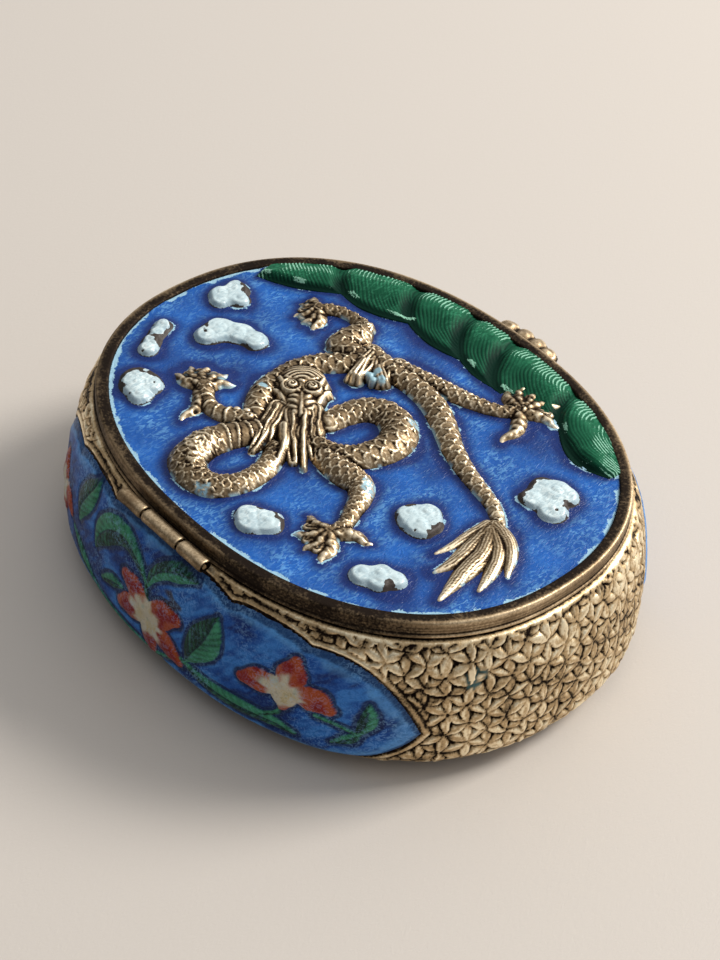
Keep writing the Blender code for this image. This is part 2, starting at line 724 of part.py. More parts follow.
def make_panels():
    """Both blue side panels, and the shallow beds they lie in."""
    face = body_solid("panel_face", PANEL_PROUD)
    back = body_solid("panel_back", PANEL_PROUD - PANEL_THICKNESS)
    bed = body_solid("panel_bed", PANEL_PROUD - PANEL_THICKNESS - GAP)
    outline = panel_outline()
    for name, side in (("front_panel_enamel", -1), ("back_panel_enamel", 1)):
        panel = panel_prism(name, outline, side, PARTS)
        panel.data.materials.append(PANEL_BLUE)
        boolean(panel, "INTERSECT", face)
        boolean(panel, "DIFFERENCE", back)
        recess = panel_prism(name + "_bed", grow(outline, GAP), side, BODY_CUTS)
        boolean(recess, "DIFFERENCE", bed)


def make_lid():
    """The lid plate: its lip, wall, frame and sunk field, with the dragon on it."""
    rings = [
        oval(LIP_OUT, LID_UNDERSIDE),
        oval(LIP_OUT, LID_UNDERSIDE + LIP_HEIGHT),
        oval(0, LID_UNDERSIDE + LIP_HEIGHT),
        oval(0, BOX_HEIGHT - FRAME_EASE),
        oval(-FRAME_EASE, BOX_HEIGHT),
        oval(-FRAME_WIDTH, BOX_HEIGHT),
        oval(-FRAME_WIDTH, FIELD_FLOOR),
    ]
    lid = loft("lid", rings, PARTS, LID_BRASS)
    dragon_figure()
    return boolean(lid, "UNION", RELIEF)


# Ground that the two coils enclose: x, y, half length, half width, turn in degrees
COIL_HOLES = {
    "upper_coil": (3.9, 16.6, 1.35, 2.5, 0),
    "lower_coil": (-1.5, 2.4, 1.3, 2.3, -18),
}


# The plug that clears the ground inside a coil is this many times its size
PLUG_SHARE = 2.0
HOLE_SIDES = 16


def hole_outline(hole, share):
    """The oval ground inside a coil, grown to a share of its size."""
    x, y, half_length, half_width, turn = hole
    turned = Matrix.Rotation(math.radians(turn), 2)
    centre = Vector(on_lid(x, y))
    outline = []
    for index in range(HOLE_SIDES):
        angle = math.tau * index / HOLE_SIDES
        point = Vector((half_length * math.cos(angle), half_width * math.sin(angle)))
        outline.append(tuple(centre + turned @ point * (MM * share)))
    return outline


def make_sky():
    """The blue ground: one field round the dragon, and one inside each coil."""
    field = [(point.x, point.y) for point in oval(-FRAME_WIDTH - GAP, 0)]
    sky = flat_piece("sky_enamel", field, SKY_BOTTOM, SKY_TOP, PARTS, SKY_BLUE)
    dragon_clearance()
    low, high = SKY_BOTTOM - GAP, SKY_TOP + GAP
    for name, hole in COIL_HOLES.items():
        inner = hole_outline(hole, 1.0)
        flat_piece(f"sky_enamel_in_{name}", inner, SKY_BOTTOM, SKY_TOP, PARTS, SKY_BLUE)
        flat_piece(f"{name}_plug", hole_outline(hole, PLUG_SHARE), low, high, SKY_CUTS)
    flat_piece("wave_clearance", wave_outline(GAP, GAP), low, high, SKY_CUTS)
    return boolean(sky, "DIFFERENCE", SKY_CUTS)


def make_waves():
    """The green waves along the front, cut away round the dragon's foot."""
    outline = wave_outline(-FRAME_WIDTH - GAP, 0)
    top = SKY_TOP + WAVE_RISE
    waves = flat_piece("wave_enamel", outline, SKY_BOTTOM, top, PARTS, WAVE_GREEN)
    foot = cluster_outline(foot_stations("front_leg"))
    flat_piece("wave_foot_clearance", foot, SKY_BOTTOM - GAP, top + GAP, WAVE_CUTS)
    return boolean(waves, "DIFFERENCE", WAVE_CUTS)


def rod(name, start, end, radius, collection, material=None):
    """A round rod along X at the hinge."""
    shape = bmesh.new()
    bmesh.ops.create_cone(
        shape,
        cap_ends=True,
        segments=KNUCKLE_SIDES,
        radius1=radius,
        radius2=radius,
        depth=end - start,
    )
    mesh = bpy.data.meshes.new(name)
    shape.to_mesh(mesh)
    shape.free()
    piece = link_mesh(name, mesh, collection, material)
    piece.rotation_euler = (0, math.radians(90), 0)
    piece.location = ((start + end) / 2, HINGE_Y, HINGE_Z)
    return piece


def make_hinge():
    """Three knuckles on a wire pin: the middle one is the lid's."""
    half_middle = LID_KNUCKLE_LENGTH / 2
    half_hinge = half_middle + GAP + KNUCKLE_LENGTH
    left_end = HINGE_CENTRE - half_hinge
    right_end = HINGE_CENTRE + half_hinge
    bore_radius = PIN_RADIUS + PIN_CLEARANCE
    bore = rod("pin_bore", left_end - GAP, right_end + GAP, bore_radius, GUIDES)
    knuckles = {
        "body_knuckle_left": (left_end, left_end + KNUCKLE_LENGTH),
        "lid_knuckle": (HINGE_CENTRE - half_middle, HINGE_CENTRE + half_middle),
        "body_knuckle_right": (right_end - KNUCKLE_LENGTH, right_end),
    }
    for name, (start, end) in knuckles.items():
        boolean(rod(name, start, end, KNUCKLE_RADIUS, PARTS, BRASS), "DIFFERENCE", bore)
    rod("hinge_pin", left_end, right_end, PIN_RADIUS, PARTS, PIN_WIRE)


def make_thumb_piece():
    """A scalloped tab at the front of the lid, with three lobes."""
    back = -(LID_HALF_WIDTH + LIP_OUT + GAP)
    third = THUMB_HALF_LENGTH * 2 / 3
    edge = back - THUMB_ROOT
    corner = THUMB_HALF_LENGTH * THUMB_ROOT_SHARE
    outline = [(-corner, back)]
    for index in range(3):
        start = (-THUMB_HALF_LENGTH + index * third, edge)
        end = (start[0] + third, edge)
        outline += lobe(start, end, THUMB_ROOT - THUMB_REACH)
    outline += [(THUMB_HALF_LENGTH, edge), (corner, back)]
    bottom = LID_UNDERSIDE + LIP_HEIGHT
    top = bottom + THUMB_THICKNESS
    return flat_piece("thumb_piece", outline, bottom, top, PARTS, LID_BRASS)


def hang_lid():
    """Hangs every piece that opens with the lid from one empty on the hinge's axis."""
    axis = bpy.data.objects.new("lid_hinge_axis", None)
    GUIDES.objects.link(axis)
    axis.location = (HINGE_CENTRE, HINGE_Y, HINGE_Z)
    for piece in PARTS.objects:
        if piece.name.startswith(MOVING_PIECES):
            piece.parent = axis
            piece.matrix_parent_inverse = Matrix.Translation(-axis.location)


make_panels()
make_body()
make_lid()
for number, one_cloud in enumerate(CLOUDS, 1):
    make_cloud(f"cloud_{number}", one_cloud)
make_waves()
make_sky()
make_hinge()
make_thumb_piece()
hang_lid()
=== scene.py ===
# %% [markdown]
# # A small enamelled brass box
# The box stands on its underside, with +X along it, the thumb piece at -Y and the hinge
# at +Y. The CAD solids give every size. This script lays the finely worked surfaces
# over them: the chased brass, the dragon in relief and the fired enamel. Each step says
# what the real thing is, how it could be made and why it is made as it is here.

# %% The frame
import math

import bmesh
import bpy
import numpy as np
from mathutils import Matrix, Vector


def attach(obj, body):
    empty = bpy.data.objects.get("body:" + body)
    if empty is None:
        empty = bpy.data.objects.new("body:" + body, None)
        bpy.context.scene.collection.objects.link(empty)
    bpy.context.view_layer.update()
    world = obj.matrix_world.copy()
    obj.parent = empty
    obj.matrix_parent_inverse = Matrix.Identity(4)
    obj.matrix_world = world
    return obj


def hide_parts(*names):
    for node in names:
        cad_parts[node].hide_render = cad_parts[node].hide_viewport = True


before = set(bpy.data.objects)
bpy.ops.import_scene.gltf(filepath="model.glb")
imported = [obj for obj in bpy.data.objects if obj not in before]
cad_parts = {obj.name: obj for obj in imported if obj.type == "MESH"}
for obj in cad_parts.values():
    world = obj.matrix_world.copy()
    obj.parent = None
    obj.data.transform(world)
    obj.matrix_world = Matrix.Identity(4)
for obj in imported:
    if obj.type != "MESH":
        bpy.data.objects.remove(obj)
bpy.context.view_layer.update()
MM = 0.001
print("CAD nodes:", len(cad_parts))

# %% [markdown]
# ## Camera
# A long lens looks down on the box from its back left corner, so the far end looks
# nearly as large as the near one. A camera can be pushed about by hand until the view
# fits, but this one was found by fitting the lid's outline and the sides, so it is
# given as an aim: two angles, a roll, a distance and a small slide across the view.

# %% Camera
TURN = math.radians(224.3189)
LIFT = math.radians(42.0673)
ROLL = math.radians(5.6411)
DISTANCE = 246.106 * MM
SLIDE = (0.0836 * MM, 7.0097 * MM)
RIM_TOP = 22.0

towards = Vector(
    (math.sin(TURN) * math.cos(LIFT), -math.cos(TURN) * math.cos(LIFT), math.sin(LIFT))
)
level_right = Vector((math.cos(TURN), math.sin(TURN), 0))
level_up = towards.cross(level_right)
right = math.cos(ROLL) * level_right + math.sin(ROLL) * level_up
up = math.cos(ROLL) * level_up - math.sin(ROLL) * level_right
place = towards * DISTANCE - right * SLIDE[0] - up * SLIDE[1] + Vector((0, 0, RIM_TOP * MM))

lens = bpy.data.cameras.new("camera")
lens.lens = 76.30
lens.sensor_width = 36.0
lens.clip_start = 0.01
camera = bpy.data.objects.new("camera", lens)
bpy.context.scene.collection.objects.link(camera)
camera.matrix_world = Matrix(
    (
        (right.x, up.x, towards.x, place.x),
        (right.y, up.y, towards.y, place.y),
        (right.z, up.z, towards.z, place.z),
        (0, 0, 0, 1),
    )
)
bpy.context.scene.camera = camera
print("camera at", [round(value, 3) for value in place])

# %% [markdown]
# ## Light and floor
# One broad lamp to the right and behind gives the soft shadow on the left. The air
# round the box is pale on that side and above, and dim on the left, as in a room with
# one window. More lamps could be set round the box, but metal mirrors what is round it,
# and an air that goes evenly from pale to dim gives it a bright and a dark side. The
# floor is plain.


# %% Light and floor
def lamp(name, direction, distance, size, power, colour):
    """A square area lamp that looks at the box from a direction."""
    light = bpy.data.lights.new(name, "AREA")
    light.size = size
    light.energy = power
    light.color = colour
    thing = bpy.data.objects.new(name, light)
    bpy.context.scene.collection.objects.link(thing)
    aim = Vector(direction).normalized()
    thing.location = aim * distance
    thing.rotation_euler = aim.to_track_quat("Z", "Y").to_euler()
    return thing


away = Vector((-towards.x, -towards.y, 0)).normalized()
lamp(
    "key",
    level_right * 0.95 + away * 0.45 + Vector((0, 0, 0.85)),
    0.9,
    0.3,
    8.2,
    (1.0, 0.97, 0.92),
)

world = bpy.data.worlds.new("studio")
bpy.context.scene.world = world
world.use_nodes = True
air = world.node_tree
air.nodes["Background"].inputs["Color"].default_value = (0.93, 0.94, 0.95, 1)
facing = air.nodes.new("ShaderNodeVectorMath")
facing.operation = "DOT_PRODUCT"
air.links.new(air.nodes.new("ShaderNodeTexCoord").outputs["Generated"], facing.inputs[0])
facing.inputs[1].default_value = (
    level_right * 0.5 + away * 0.4 + Vector((0, 0, 0.8))
).normalized()
glow = air.nodes.new("ShaderNodeMapRange")
air.links.new(facing.outputs["Value"], glow.inputs["Value"])
for label, value in (("From Min", -0.3), ("From Max", 0.9), ("To Min", 0.08), ("To Max", 0.85)):
    glow.inputs[label].default_value = value
air.links.new(glow.outputs["Result"], air.nodes["Background"].inputs["Strength"])
bpy.context.scene.view_settings.view_transform = "Standard"

floor_mesh = bpy.data.meshes.new("floor")
floor_mesh.from_pydata([(-2, -2, 0), (2, -2, 0), (2, 2, 0), (-2, 2, 0)], [], [(0, 1, 2, 3)])
floor = bpy.data.objects.new("floor", floor_mesh)
bpy.context.scene.collection.objects.link(floor)
print("lamps:", len(bpy.data.lights), "and a floor of", len(floor_mesh.polygons), "face")

# %% [markdown]
# ## Shader groups
# An effect that more than one finish uses is built once, as a node group with named
# inputs, and each finish gives it values of its own. Nodes can be set one by one, which
# takes many lines. The helpers here add a node and join its sockets in one line, so
# that a group reads like a recipe.


# %% Node helpers
def add(tree, kind, sockets=(), **settings):
    """Adds a node. sockets are pairs of a socket and its value or its source."""
    node = tree.nodes.new(kind)
    for name, value in settings.items():
        setattr(node, name, value)
    for label, value in sockets:
        if isinstance(value, bpy.types.NodeSocket):
            tree.links.new(value, node.inputs[label])
        else:
            node.inputs[label].default_value = value
    return node


# %% Grain, ranges and sums
def noise(tree, where, scale, detail, roughness, distortion=0.0):
    """A noise texture. Its scale is in grains for each metre."""
    sockets = [("Vector", where), ("Scale", scale), ("Detail", detail)]
    sockets += [("Roughness", roughness), ("Distortion", distortion)]
    return add(tree, "ShaderNodeTexNoise", sockets).outputs["Fac"]


def stretch(tree, where, scale, turn):
    """Coordinates that are stretched and turned about Z, for grain with a direction."""
    sockets = [("Vector", where), ("Scale", scale), ("Rotation", (0, 0, turn))]
    return add(tree, "ShaderNodeMapping", sockets).outputs["Vector"]


def spread(tree, value, low, high, to_low=0.0, to_high=1.0):
    """Maps a value between two limits to another range, with soft ends."""
    sockets = [("Value", value), ("From Min", low), ("From Max", high)]
    sockets += [("To Min", to_low), ("To Max", to_high)]
    node = add(tree, "ShaderNodeMapRange", sockets, interpolation_type="SMOOTHSTEP")
    return node.outputs["Result"]


def sums(tree, operation, first, second):
    """One step of arithmetic on two values, each a socket or a number."""
    node = add(tree, "ShaderNodeMath", [(0, first), (1, second)], operation=operation)
    return node.outputs[0]


def change(tree, grain, amount):
    """Turns a noise from 0 to 1 into a change of up to half an amount each way."""
    return sums(tree, "MULTIPLY", sums(tree, "SUBTRACT", grain, 0.5), amount)


# %% Mixed colours and new groups
# A Mix node has its sockets once for each kind of data, so its colours go by number
COLOUR_A, COLOUR_B, MIXED_COLOUR = 6, 7, 2


def blend_colour(tree, factor, first, second, blend_type="MIX"):
    """Mixes two colours, each a socket or a tuple."""
    sockets = [("Factor", factor)]
    for label, colour in ((COLOUR_A, first), (COLOUR_B, second)):
        sockets.append((label, (*colour, 1.0) if isinstance(colour, tuple) else colour))
    node = add(tree, "ShaderNodeMix", sockets, data_type="RGBA", blend_type=blend_type)
    return node.outputs[MIXED_COLOUR]


def new_group(name, masks, colours):
    """A shader node group that takes masks and colours. Returns it with its end sockets."""
    group = bpy.data.node_groups.new(name, "ShaderNodeTree")
    sockets = [(label, "INPUT", "Float") for label in masks]
    sockets += [(label, "INPUT", "Color") for label in colours]
    sockets += [("Colour", "OUTPUT", "Color"), ("Roughness", "OUTPUT", "Float")]
    sockets += [("Height", "OUTPUT", "Float")]
    for label, side, kind in sockets:
        group.interface.new_socket(label, in_out=side, socket_type="NodeSocket" + kind)
    given = group.nodes.new("NodeGroupInput").outputs
    return group, given, group.nodes.new("NodeGroupOutput").inputs


# %% [markdown]
# ### Aged metal
# Old brass is bright where hands rub it and dark where dirt stays. Such wear could be
# painted on an image, but a mask of the real relief with some noise follows every edge
# and needs no picture. The group goes from dark to middle to bright by that mask,
# breaks it up with a coarse and a fine grain, and makes the rubbed metal smoother.

# %% Aged metal group
metal_group, given, made = new_group("aged_metal", ["Rub"], ["Bright", "Middle", "Dark"])
tree = metal_group
where = add(tree, "ShaderNodeTexCoord").outputs["Object"]
blotch = noise(tree, where, 260, 4, 0.6)
grain = noise(tree, where, 3200, 3, 0.65)
pits = noise(tree, where, 1300, 2, 0.5)
worn = sums(tree, "ADD", change(tree, blotch, 0.65), change(tree, grain, 0.8))
rubbed = sums(tree, "ADD", given["Rub"], worn)
base = blend_colour(tree, spread(tree, rubbed, 0.0, 0.5), given["Dark"], given["Middle"])
base = blend_colour(tree, spread(tree, rubbed, 0.45, 1.0), base, given["Bright"])
relief = sums(tree, "ADD", sums(tree, "MULTIPLY", pits, 0.6), grain)
tree.links.new(base, made["Colour"])
tree.links.new(spread(tree, rubbed, 0.0, 1.0, 0.66, 0.38), made["Roughness"])
tree.links.new(relief, made["Height"])
print(metal_group.name, "group:", len(metal_group.nodes), "nodes")

# %% [markdown]
# ### Fired enamel
# Enamel is glass that was melted onto metal. It keeps small ripples from the kiln, its
# colour lies dark in the low places, and where it is chipped the break is rough and of
# another colour. The sky, the waves, the clouds and the panels could each have a
# recipe, but they are the same stuff in other colours, so they share one.

# %% Fired enamel group
enamel_group, given, made = new_group(
    "fired_enamel", ["Pool", "Chip"], ["Base", "Deep", "Pale", "Chipped"]
)
tree = enamel_group
where = add(tree, "ShaderNodeTexCoord").outputs["Object"]
ripples = noise(tree, stretch(tree, where, (1.0, 0.4, 1.0), 0.35), 2700, 2, 0.5, 1.2)
clouding = noise(tree, where, 190, 3, 0.5)
specks = noise(tree, where, 2600, 2, 0.5)
flakes = noise(tree, where, 4200, 3, 0.6)
crest = spread(tree, ripples, 0.46, 0.64)
trough = spread(tree, ripples, 0.3, 0.5, 1.0, 0.0)
patch = sums(tree, "MULTIPLY", spread(tree, clouding, 0.38, 0.66), 0.85)
# Paler on the crests of the ripples: partly thinner glass and partly painted highlight.
thin = sums(tree, "MULTIPLY", crest, sums(tree, "ADD", patch, 0.2))
base = blend_colour(tree, thin, given["Base"], given["Pale"])
dark = sums(tree, "MAXIMUM", given["Pool"], sums(tree, "MULTIPLY", trough, 0.35))
base = blend_colour(tree, dark, base, given["Deep"])
broken = sums(tree, "ADD", given["Chip"], change(tree, flakes, 1.1))
broken = spread(tree, broken, 0.44, 0.56)
base = blend_colour(tree, broken, base, given["Chipped"])
dulled = sums(tree, "MULTIPLY", broken, 0.3)
rough = sums(tree, "ADD", dulled, sums(tree, "MULTIPLY", specks, 0.3))
tree.links.new(base, made["Colour"])
tree.links.new(sums(tree, "ADD", rough, 0.14), made["Roughness"])
tree.links.new(ripples, made["Height"])
print(enamel_group.name, "group:", len(enamel_group.nodes), "nodes")

# %% [markdown]
# ### Finishes
# Each finish is a Principled shader that is fed by one of the groups. The masks come
# from the mesh, which keeps a value at each of its points, so wear lies exactly on the
# relief that causes it. Where verdigris or spilt enamel lies on brass, the finish stops
# being metal there. The floor has the enamel's fine grain in a single colour.

# %% A finish
def mask_of(tree, name):
    """The value that a mesh keeps at its points under a name."""
    return add(tree, "ShaderNodeAttribute", attribute_name=name).outputs["Fac"]


def new_finish(name, group, colours, masks, bump, metallic=0.0, shine=0.5, dull=0.0):
    """A Principled material fed by a group, with the mesh's masks and its own colours."""
    material = bpy.data.materials.new(name)
    material.use_nodes = True
    tree = material.node_tree
    shader = tree.nodes["Principled BSDF"]
    shader.inputs["Metallic"].default_value = metallic
    shader.inputs["Specular IOR Level"].default_value = shine
    sockets = [(label, (*colour, 1.0)) for label, colour in colours.items()]
    for label, mask in masks.items():
        sockets.append((label, mask_of(tree, mask) if isinstance(mask, str) else mask))
    node = add(tree, "ShaderNodeGroup", sockets, node_tree=group)
    bumps = [("Height", node.outputs["Height"]), ("Distance", bump * MM), ("Strength", 1.0)]
    normal = add(tree, "ShaderNodeBump", bumps).outputs["Normal"]
    rough = sums(tree, "ADD", node.outputs["Roughness"], dull)
    tree.links.new(node.outputs["Colour"], shader.inputs["Base Color"])
    tree.links.new(rough, shader.inputs["Roughness"])
    tree.links.new(normal, shader.inputs["Normal"])
    return material


def lay_over(material, mask, colour):
    """Covers a metal finish, where a mask says so, with something that isn't metal."""
    tree = material.node_tree
    shader = tree.nodes["Principled BSDF"]
    under = shader.inputs["Base Color"].links[0].from_socket
    cover = mask_of(tree, mask)
    tree.links.new(blend_colour(tree, cover, under, colour), shader.inputs["Base Color"])
    tree.links.new(sums(tree, "SUBTRACT", 1.0, cover), shader.inputs["Metallic"])


# %% Brass, bronze, sky and floor
GOLD = {"Bright": (1.0, 0.87, 0.62), "Middle": (0.56, 0.405, 0.225), "Dark": (0.014, 0.008, 0.006)}
BRONZE = {
    "Bright": (0.98, 0.82, 0.58), "Middle": (0.27, 0.19, 0.108), "Dark": (0.016, 0.009, 0.006)
}
BLUES = {
    "Base": (0.009, 0.132, 0.52),
    "Deep": (0.001, 0.02, 0.14),
    "Pale": (0.15, 0.42, 0.82),
    "Chipped": (0.34, 0.56, 0.70),
}
chased_gold = new_finish("chased_gold", metal_group, GOLD, {"Rub": "rub"}, 0.04, 1.0)
lay_over(chased_gold, "verdigris", (0.035, 0.10, 0.10))
relief_bronze = new_finish("relief_bronze", metal_group, BRONZE, {"Rub": "rub"}, 0.03, 1.0)
sky_blue = new_finish(
    "sky_blue", enamel_group, BLUES, {"Pool": "pool", "Chip": "chip"}, 0.12, 0.0, 0.26, 0.08
)
floor_paint = new_finish(
    "pale_floor",
    enamel_group,
    {label: (0.61, 0.555, 0.50) for label in ("Base", "Deep", "Pale", "Chipped")},
    {"Pool": 0.0, "Chip": 1.0},
    0.02,
)
floor.data.materials.append(floor_paint)
print("finishes:", ", ".join(material.name for material in bpy.data.materials))

# %% [markdown]
# ## How the worked surfaces are made
# Repoussé and enamel are shallow relief. It could be sculpted by hand, or be a grid
# that textures displace. Here it is a fine sheet of points whose heights come from
# formulas: the result is the same each time, and every size can be read. A sheet dips
# below its neighbour where it ends, so that the two cross in a clean line, as enamel
# meets metal. Each point also keeps masks: how rubbed the metal is there, how deep the
# enamel pools, and where it is chipped.


# %% Sheets of points
def surface(name, points, keep, marks=None, closed=False):
    """A smooth mesh over a grid of points in millimetres, only where keep is true."""
    rows, columns = keep.shape
    number = np.arange(rows * columns).reshape(rows, columns)
    if closed:
        number = np.hstack([number, number[:, :1]])
        keep = np.hstack([keep, keep[:, :1]])
    whole = keep[:-1, :-1] & keep[:-1, 1:] & keep[1:, 1:] & keep[1:, :-1]
    corners = (number[:-1, :-1], number[:-1, 1:], number[1:, 1:], number[1:, :-1])
    quads = np.stack([corner[whole] for corner in corners], axis=1)
    used, quads = np.unique(quads, return_inverse=True)
    quads = quads.reshape(-1, 4)
    mesh = bpy.data.meshes.new(name)
    mesh.vertices.add(len(used))
    places = points.reshape(-1, 3)[used] * MM
    mesh.vertices.foreach_set("co", places.astype(np.float32).ravel())
    mesh.loops.add(quads.size)
    mesh.loops.foreach_set("vertex_index", quads.astype(np.int32).ravel())
    mesh.polygons.add(len(quads))
    mesh.polygons.foreach_set("loop_start", np.arange(0, quads.size, 4, dtype=np.int32))
    mesh.update(calc_edges=True)
    mesh.shade_smooth()
    for label, values in (marks or {}).items():
        if values.ndim == 3:
            colours = np.ones((len(used), 4))
            colours[:, :3] = values.reshape(-1, 3)[used]
            layer = mesh.color_attributes.new(label, "FLOAT_COLOR", "POINT")
            layer.data.foreach_set("color", colours.astype(np.float32).ravel())
        else:
            layer = mesh.attributes.new(label, "FLOAT", "POINT")
            layer.data.foreach_set("value", values.ravel()[used].astype(np.float32))
    piece = bpy.data.objects.new(name, mesh)
    bpy.context.scene.collection.objects.link(piece)
    return piece


# %% Dressing a piece
def dress(piece, body, slot, material, *nodes):
    """Puts a piece on its body, gives it its finish and lets it stand for CAD nodes."""
    piece.data.materials.append(material)
    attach(piece, body)
    if nodes:
        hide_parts(*nodes)
    print(piece.name, len(piece.data.polygons), "faces")
    return piece


# %% Smooth noise and soft steps
TABLE = np.random.default_rng(7).random((64, 64))


def waver(x, y, size, seed=0):
    """Smooth noise from -1 to 1 with lumps of a size in millimetres."""
    u, v = x / size + seed * 7.31, y / size + seed * 3.77
    i, j = np.floor(u).astype(int), np.floor(v).astype(int)
    a, b = u - i, v - j
    a, b = a * a * (3 - 2 * a), b * b * (3 - 2 * b)
    here, east = TABLE[i % 64, j % 64], TABLE[(i + 1) % 64, j % 64]
    north, far = TABLE[i % 64, (j + 1) % 64], TABLE[(i + 1) % 64, (j + 1) % 64]
    return 2 * ((here * (1 - a) + east * a) * (1 - b) + (north * (1 - a) + far * a) * b) - 1


def ease(value, low, high):
    """Rises smoothly from 0 at low to 1 at high."""
    t = np.clip((value - low) / (high - low), 0, 1)
    return t * t * (3 - 2 * t)


# %% Wear that follows the relief
def soften(field, reach):
    """The average of a field over a square that reaches so many cells each way."""
    for axis in (0, 1):
        padded = np.concatenate(
            [np.repeat(np.take(field, [0], axis), reach + 1, axis), field,
             np.repeat(np.take(field, [-1], axis), reach, axis)], axis)
        total = np.cumsum(padded, axis)
        size = field.shape[axis]
        ahead = np.take(total, range(2 * reach + 1, 2 * reach + 1 + size), axis)
        field = (ahead - np.take(total, range(size), axis)) / (2 * reach + 1)
    return field


def rub_of(height, cell, gain=5.0):
    """How rubbed a relief is: high where it stands over what is round it."""
    close = height - soften(height, max(1, round(0.3 / cell)))
    wide = height - soften(height, max(1, round(0.9 / cell)))
    return np.clip(0.37 + close * gain + wide * 0.9, 0, 1)


# %% [markdown]
# ## The picture's ground plan
# The dragon is drawn as runs: places along a limb, each with its half thickness.
# Bevelled curves could draw it too, but they give round tubes. With runs, each point of
# the sheet knows how far along and across a limb it lies, so scales and hairs can
# follow the limb. They are the runs of the CAD solids, so the worked relief covers
# them. Only the two whiskers end a little sooner here.

# %% The dragon's runs, in millimetres
SKY_TOP = 21.75
DRAGON_LEVEL = 21.65
FIELD_HALF = (33.4, 26.5)
OUTLINE_POWER = 2.24
CELL = 0.14

BODY_RUNS = {
    "upper_coil": [
        (2.6, 11.3, 1.4), (1.0, 13.6, 1.6), (0.4, 16.2, 1.7), (0.6, 19.0, 1.8),
        (2.2, 21.4, 2.1), (4.8, 22.0, 2.3), (7.2, 20.9, 2.5), (8.1, 18.3, 2.5),
        (7.9, 15.4, 2.4), (6.9, 12.6, 2.1), (6.2, 9.8, 1.7),
    ],
    "lower_coil": [
        (1.2, 6.8, 1.6), (-1.6, 6.8, 1.9), (-4.2, 5.0, 2.1), (-5.4, 2.0, 2.4),
        (-5.3, -0.9, 2.5), (-3.6, -3.0, 2.5), (-0.9, -3.5, 2.4), (1.3, -2.0, 2.2),
        (2.2, 0.6, 2.0), (2.4, 3.2, 1.8),
    ],
    "shoulder": [
        (8.0, 9.8, 1.4), (10.0, 8.0, 1.7), (11.6, 5.4, 1.9), (12.2, 2.4, 1.9),
        (12.3, -0.4, 1.9), (11.5, -3.2, 1.9), (9.8, -5.8, 1.9), (8.0, -8.4, 1.9),
    ],
    "tail": [
        (9.0, -9.8, 1.9), (5.0, -9.6, 1.9), (1.0, -10.0, 1.9), (-3.0, -9.4, 1.9),
        (-6.5, -7.8, 1.8), (-10.0, -5.8, 1.6), (-13.5, -4.4, 1.4), (-17.0, -3.4, 1.25),
        (-20.5, -2.4, 1.1), (-23.4, -0.6, 0.9),
    ],
    "fore_thigh": [(8.0, -8.6, 1.7), (12.2, -8.0, 2.3), (12.8, -10.8, 2.3), (13.2, -12.6, 1.5)],
}
LEG_RUNS = {
    "front_leg": [
        (5.0, -10.8, 1.6), (1.5, -11.6, 1.6), (-2.0, -12.6, 1.5),
        (-5.5, -13.6, 1.3), (-8.5, -15.0, 1.1), (-10.6, -17.2, 1.2),
    ],
    "right_leg": [(13.4, -12.9, 1.3), (16.2, -13.0, 1.0), (18.4, -12.2, 1.1), (19.8, -10.6, 1.3)],
    "left_leg": [
        (-2.5, 7.6, 1.9), (-5.5, 7.7, 2.1), (-8.2, 7.6, 1.9), (-9.9, 8.9, 1.5),
        (-11.1, 11.2, 1.2), (-12.2, 13.5, 1.0), (-12.2, 15.6, 1.1),
    ],
    "back_leg": [
        (8.4, 10.6, 1.6), (10.3, 11.8, 1.5), (12.4, 12.7, 1.3),
        (14.6, 12.2, 1.2), (16.6, 10.9, 1.4),
    ],
}
TOE_TIPS = {
    "front_leg": [
        (-15.2, -18.8), (-12.4, -21.9), (-9.8, -22.5),
        (-7.0, -21.5), (-6.1, -18.9), (-13.0, -11.2),
    ],
    "right_leg": [(17.2, -7.2), (18.9, -6.8), (20.8, -7.2), (22.4, -9.5), (22.5, -11.9)],
    "left_leg": [(-15.0, 19.5), (-12.4, 19.8), (-9.8, 19.1), (-8.4, 15.8), (-16.4, 13.0)],
    "back_leg": [(20.9, 12.1), (20.9, 9.8), (19.5, 8.1), (16.8, 7.1), (13.4, 17.0), (14.6, 7.6)],
}

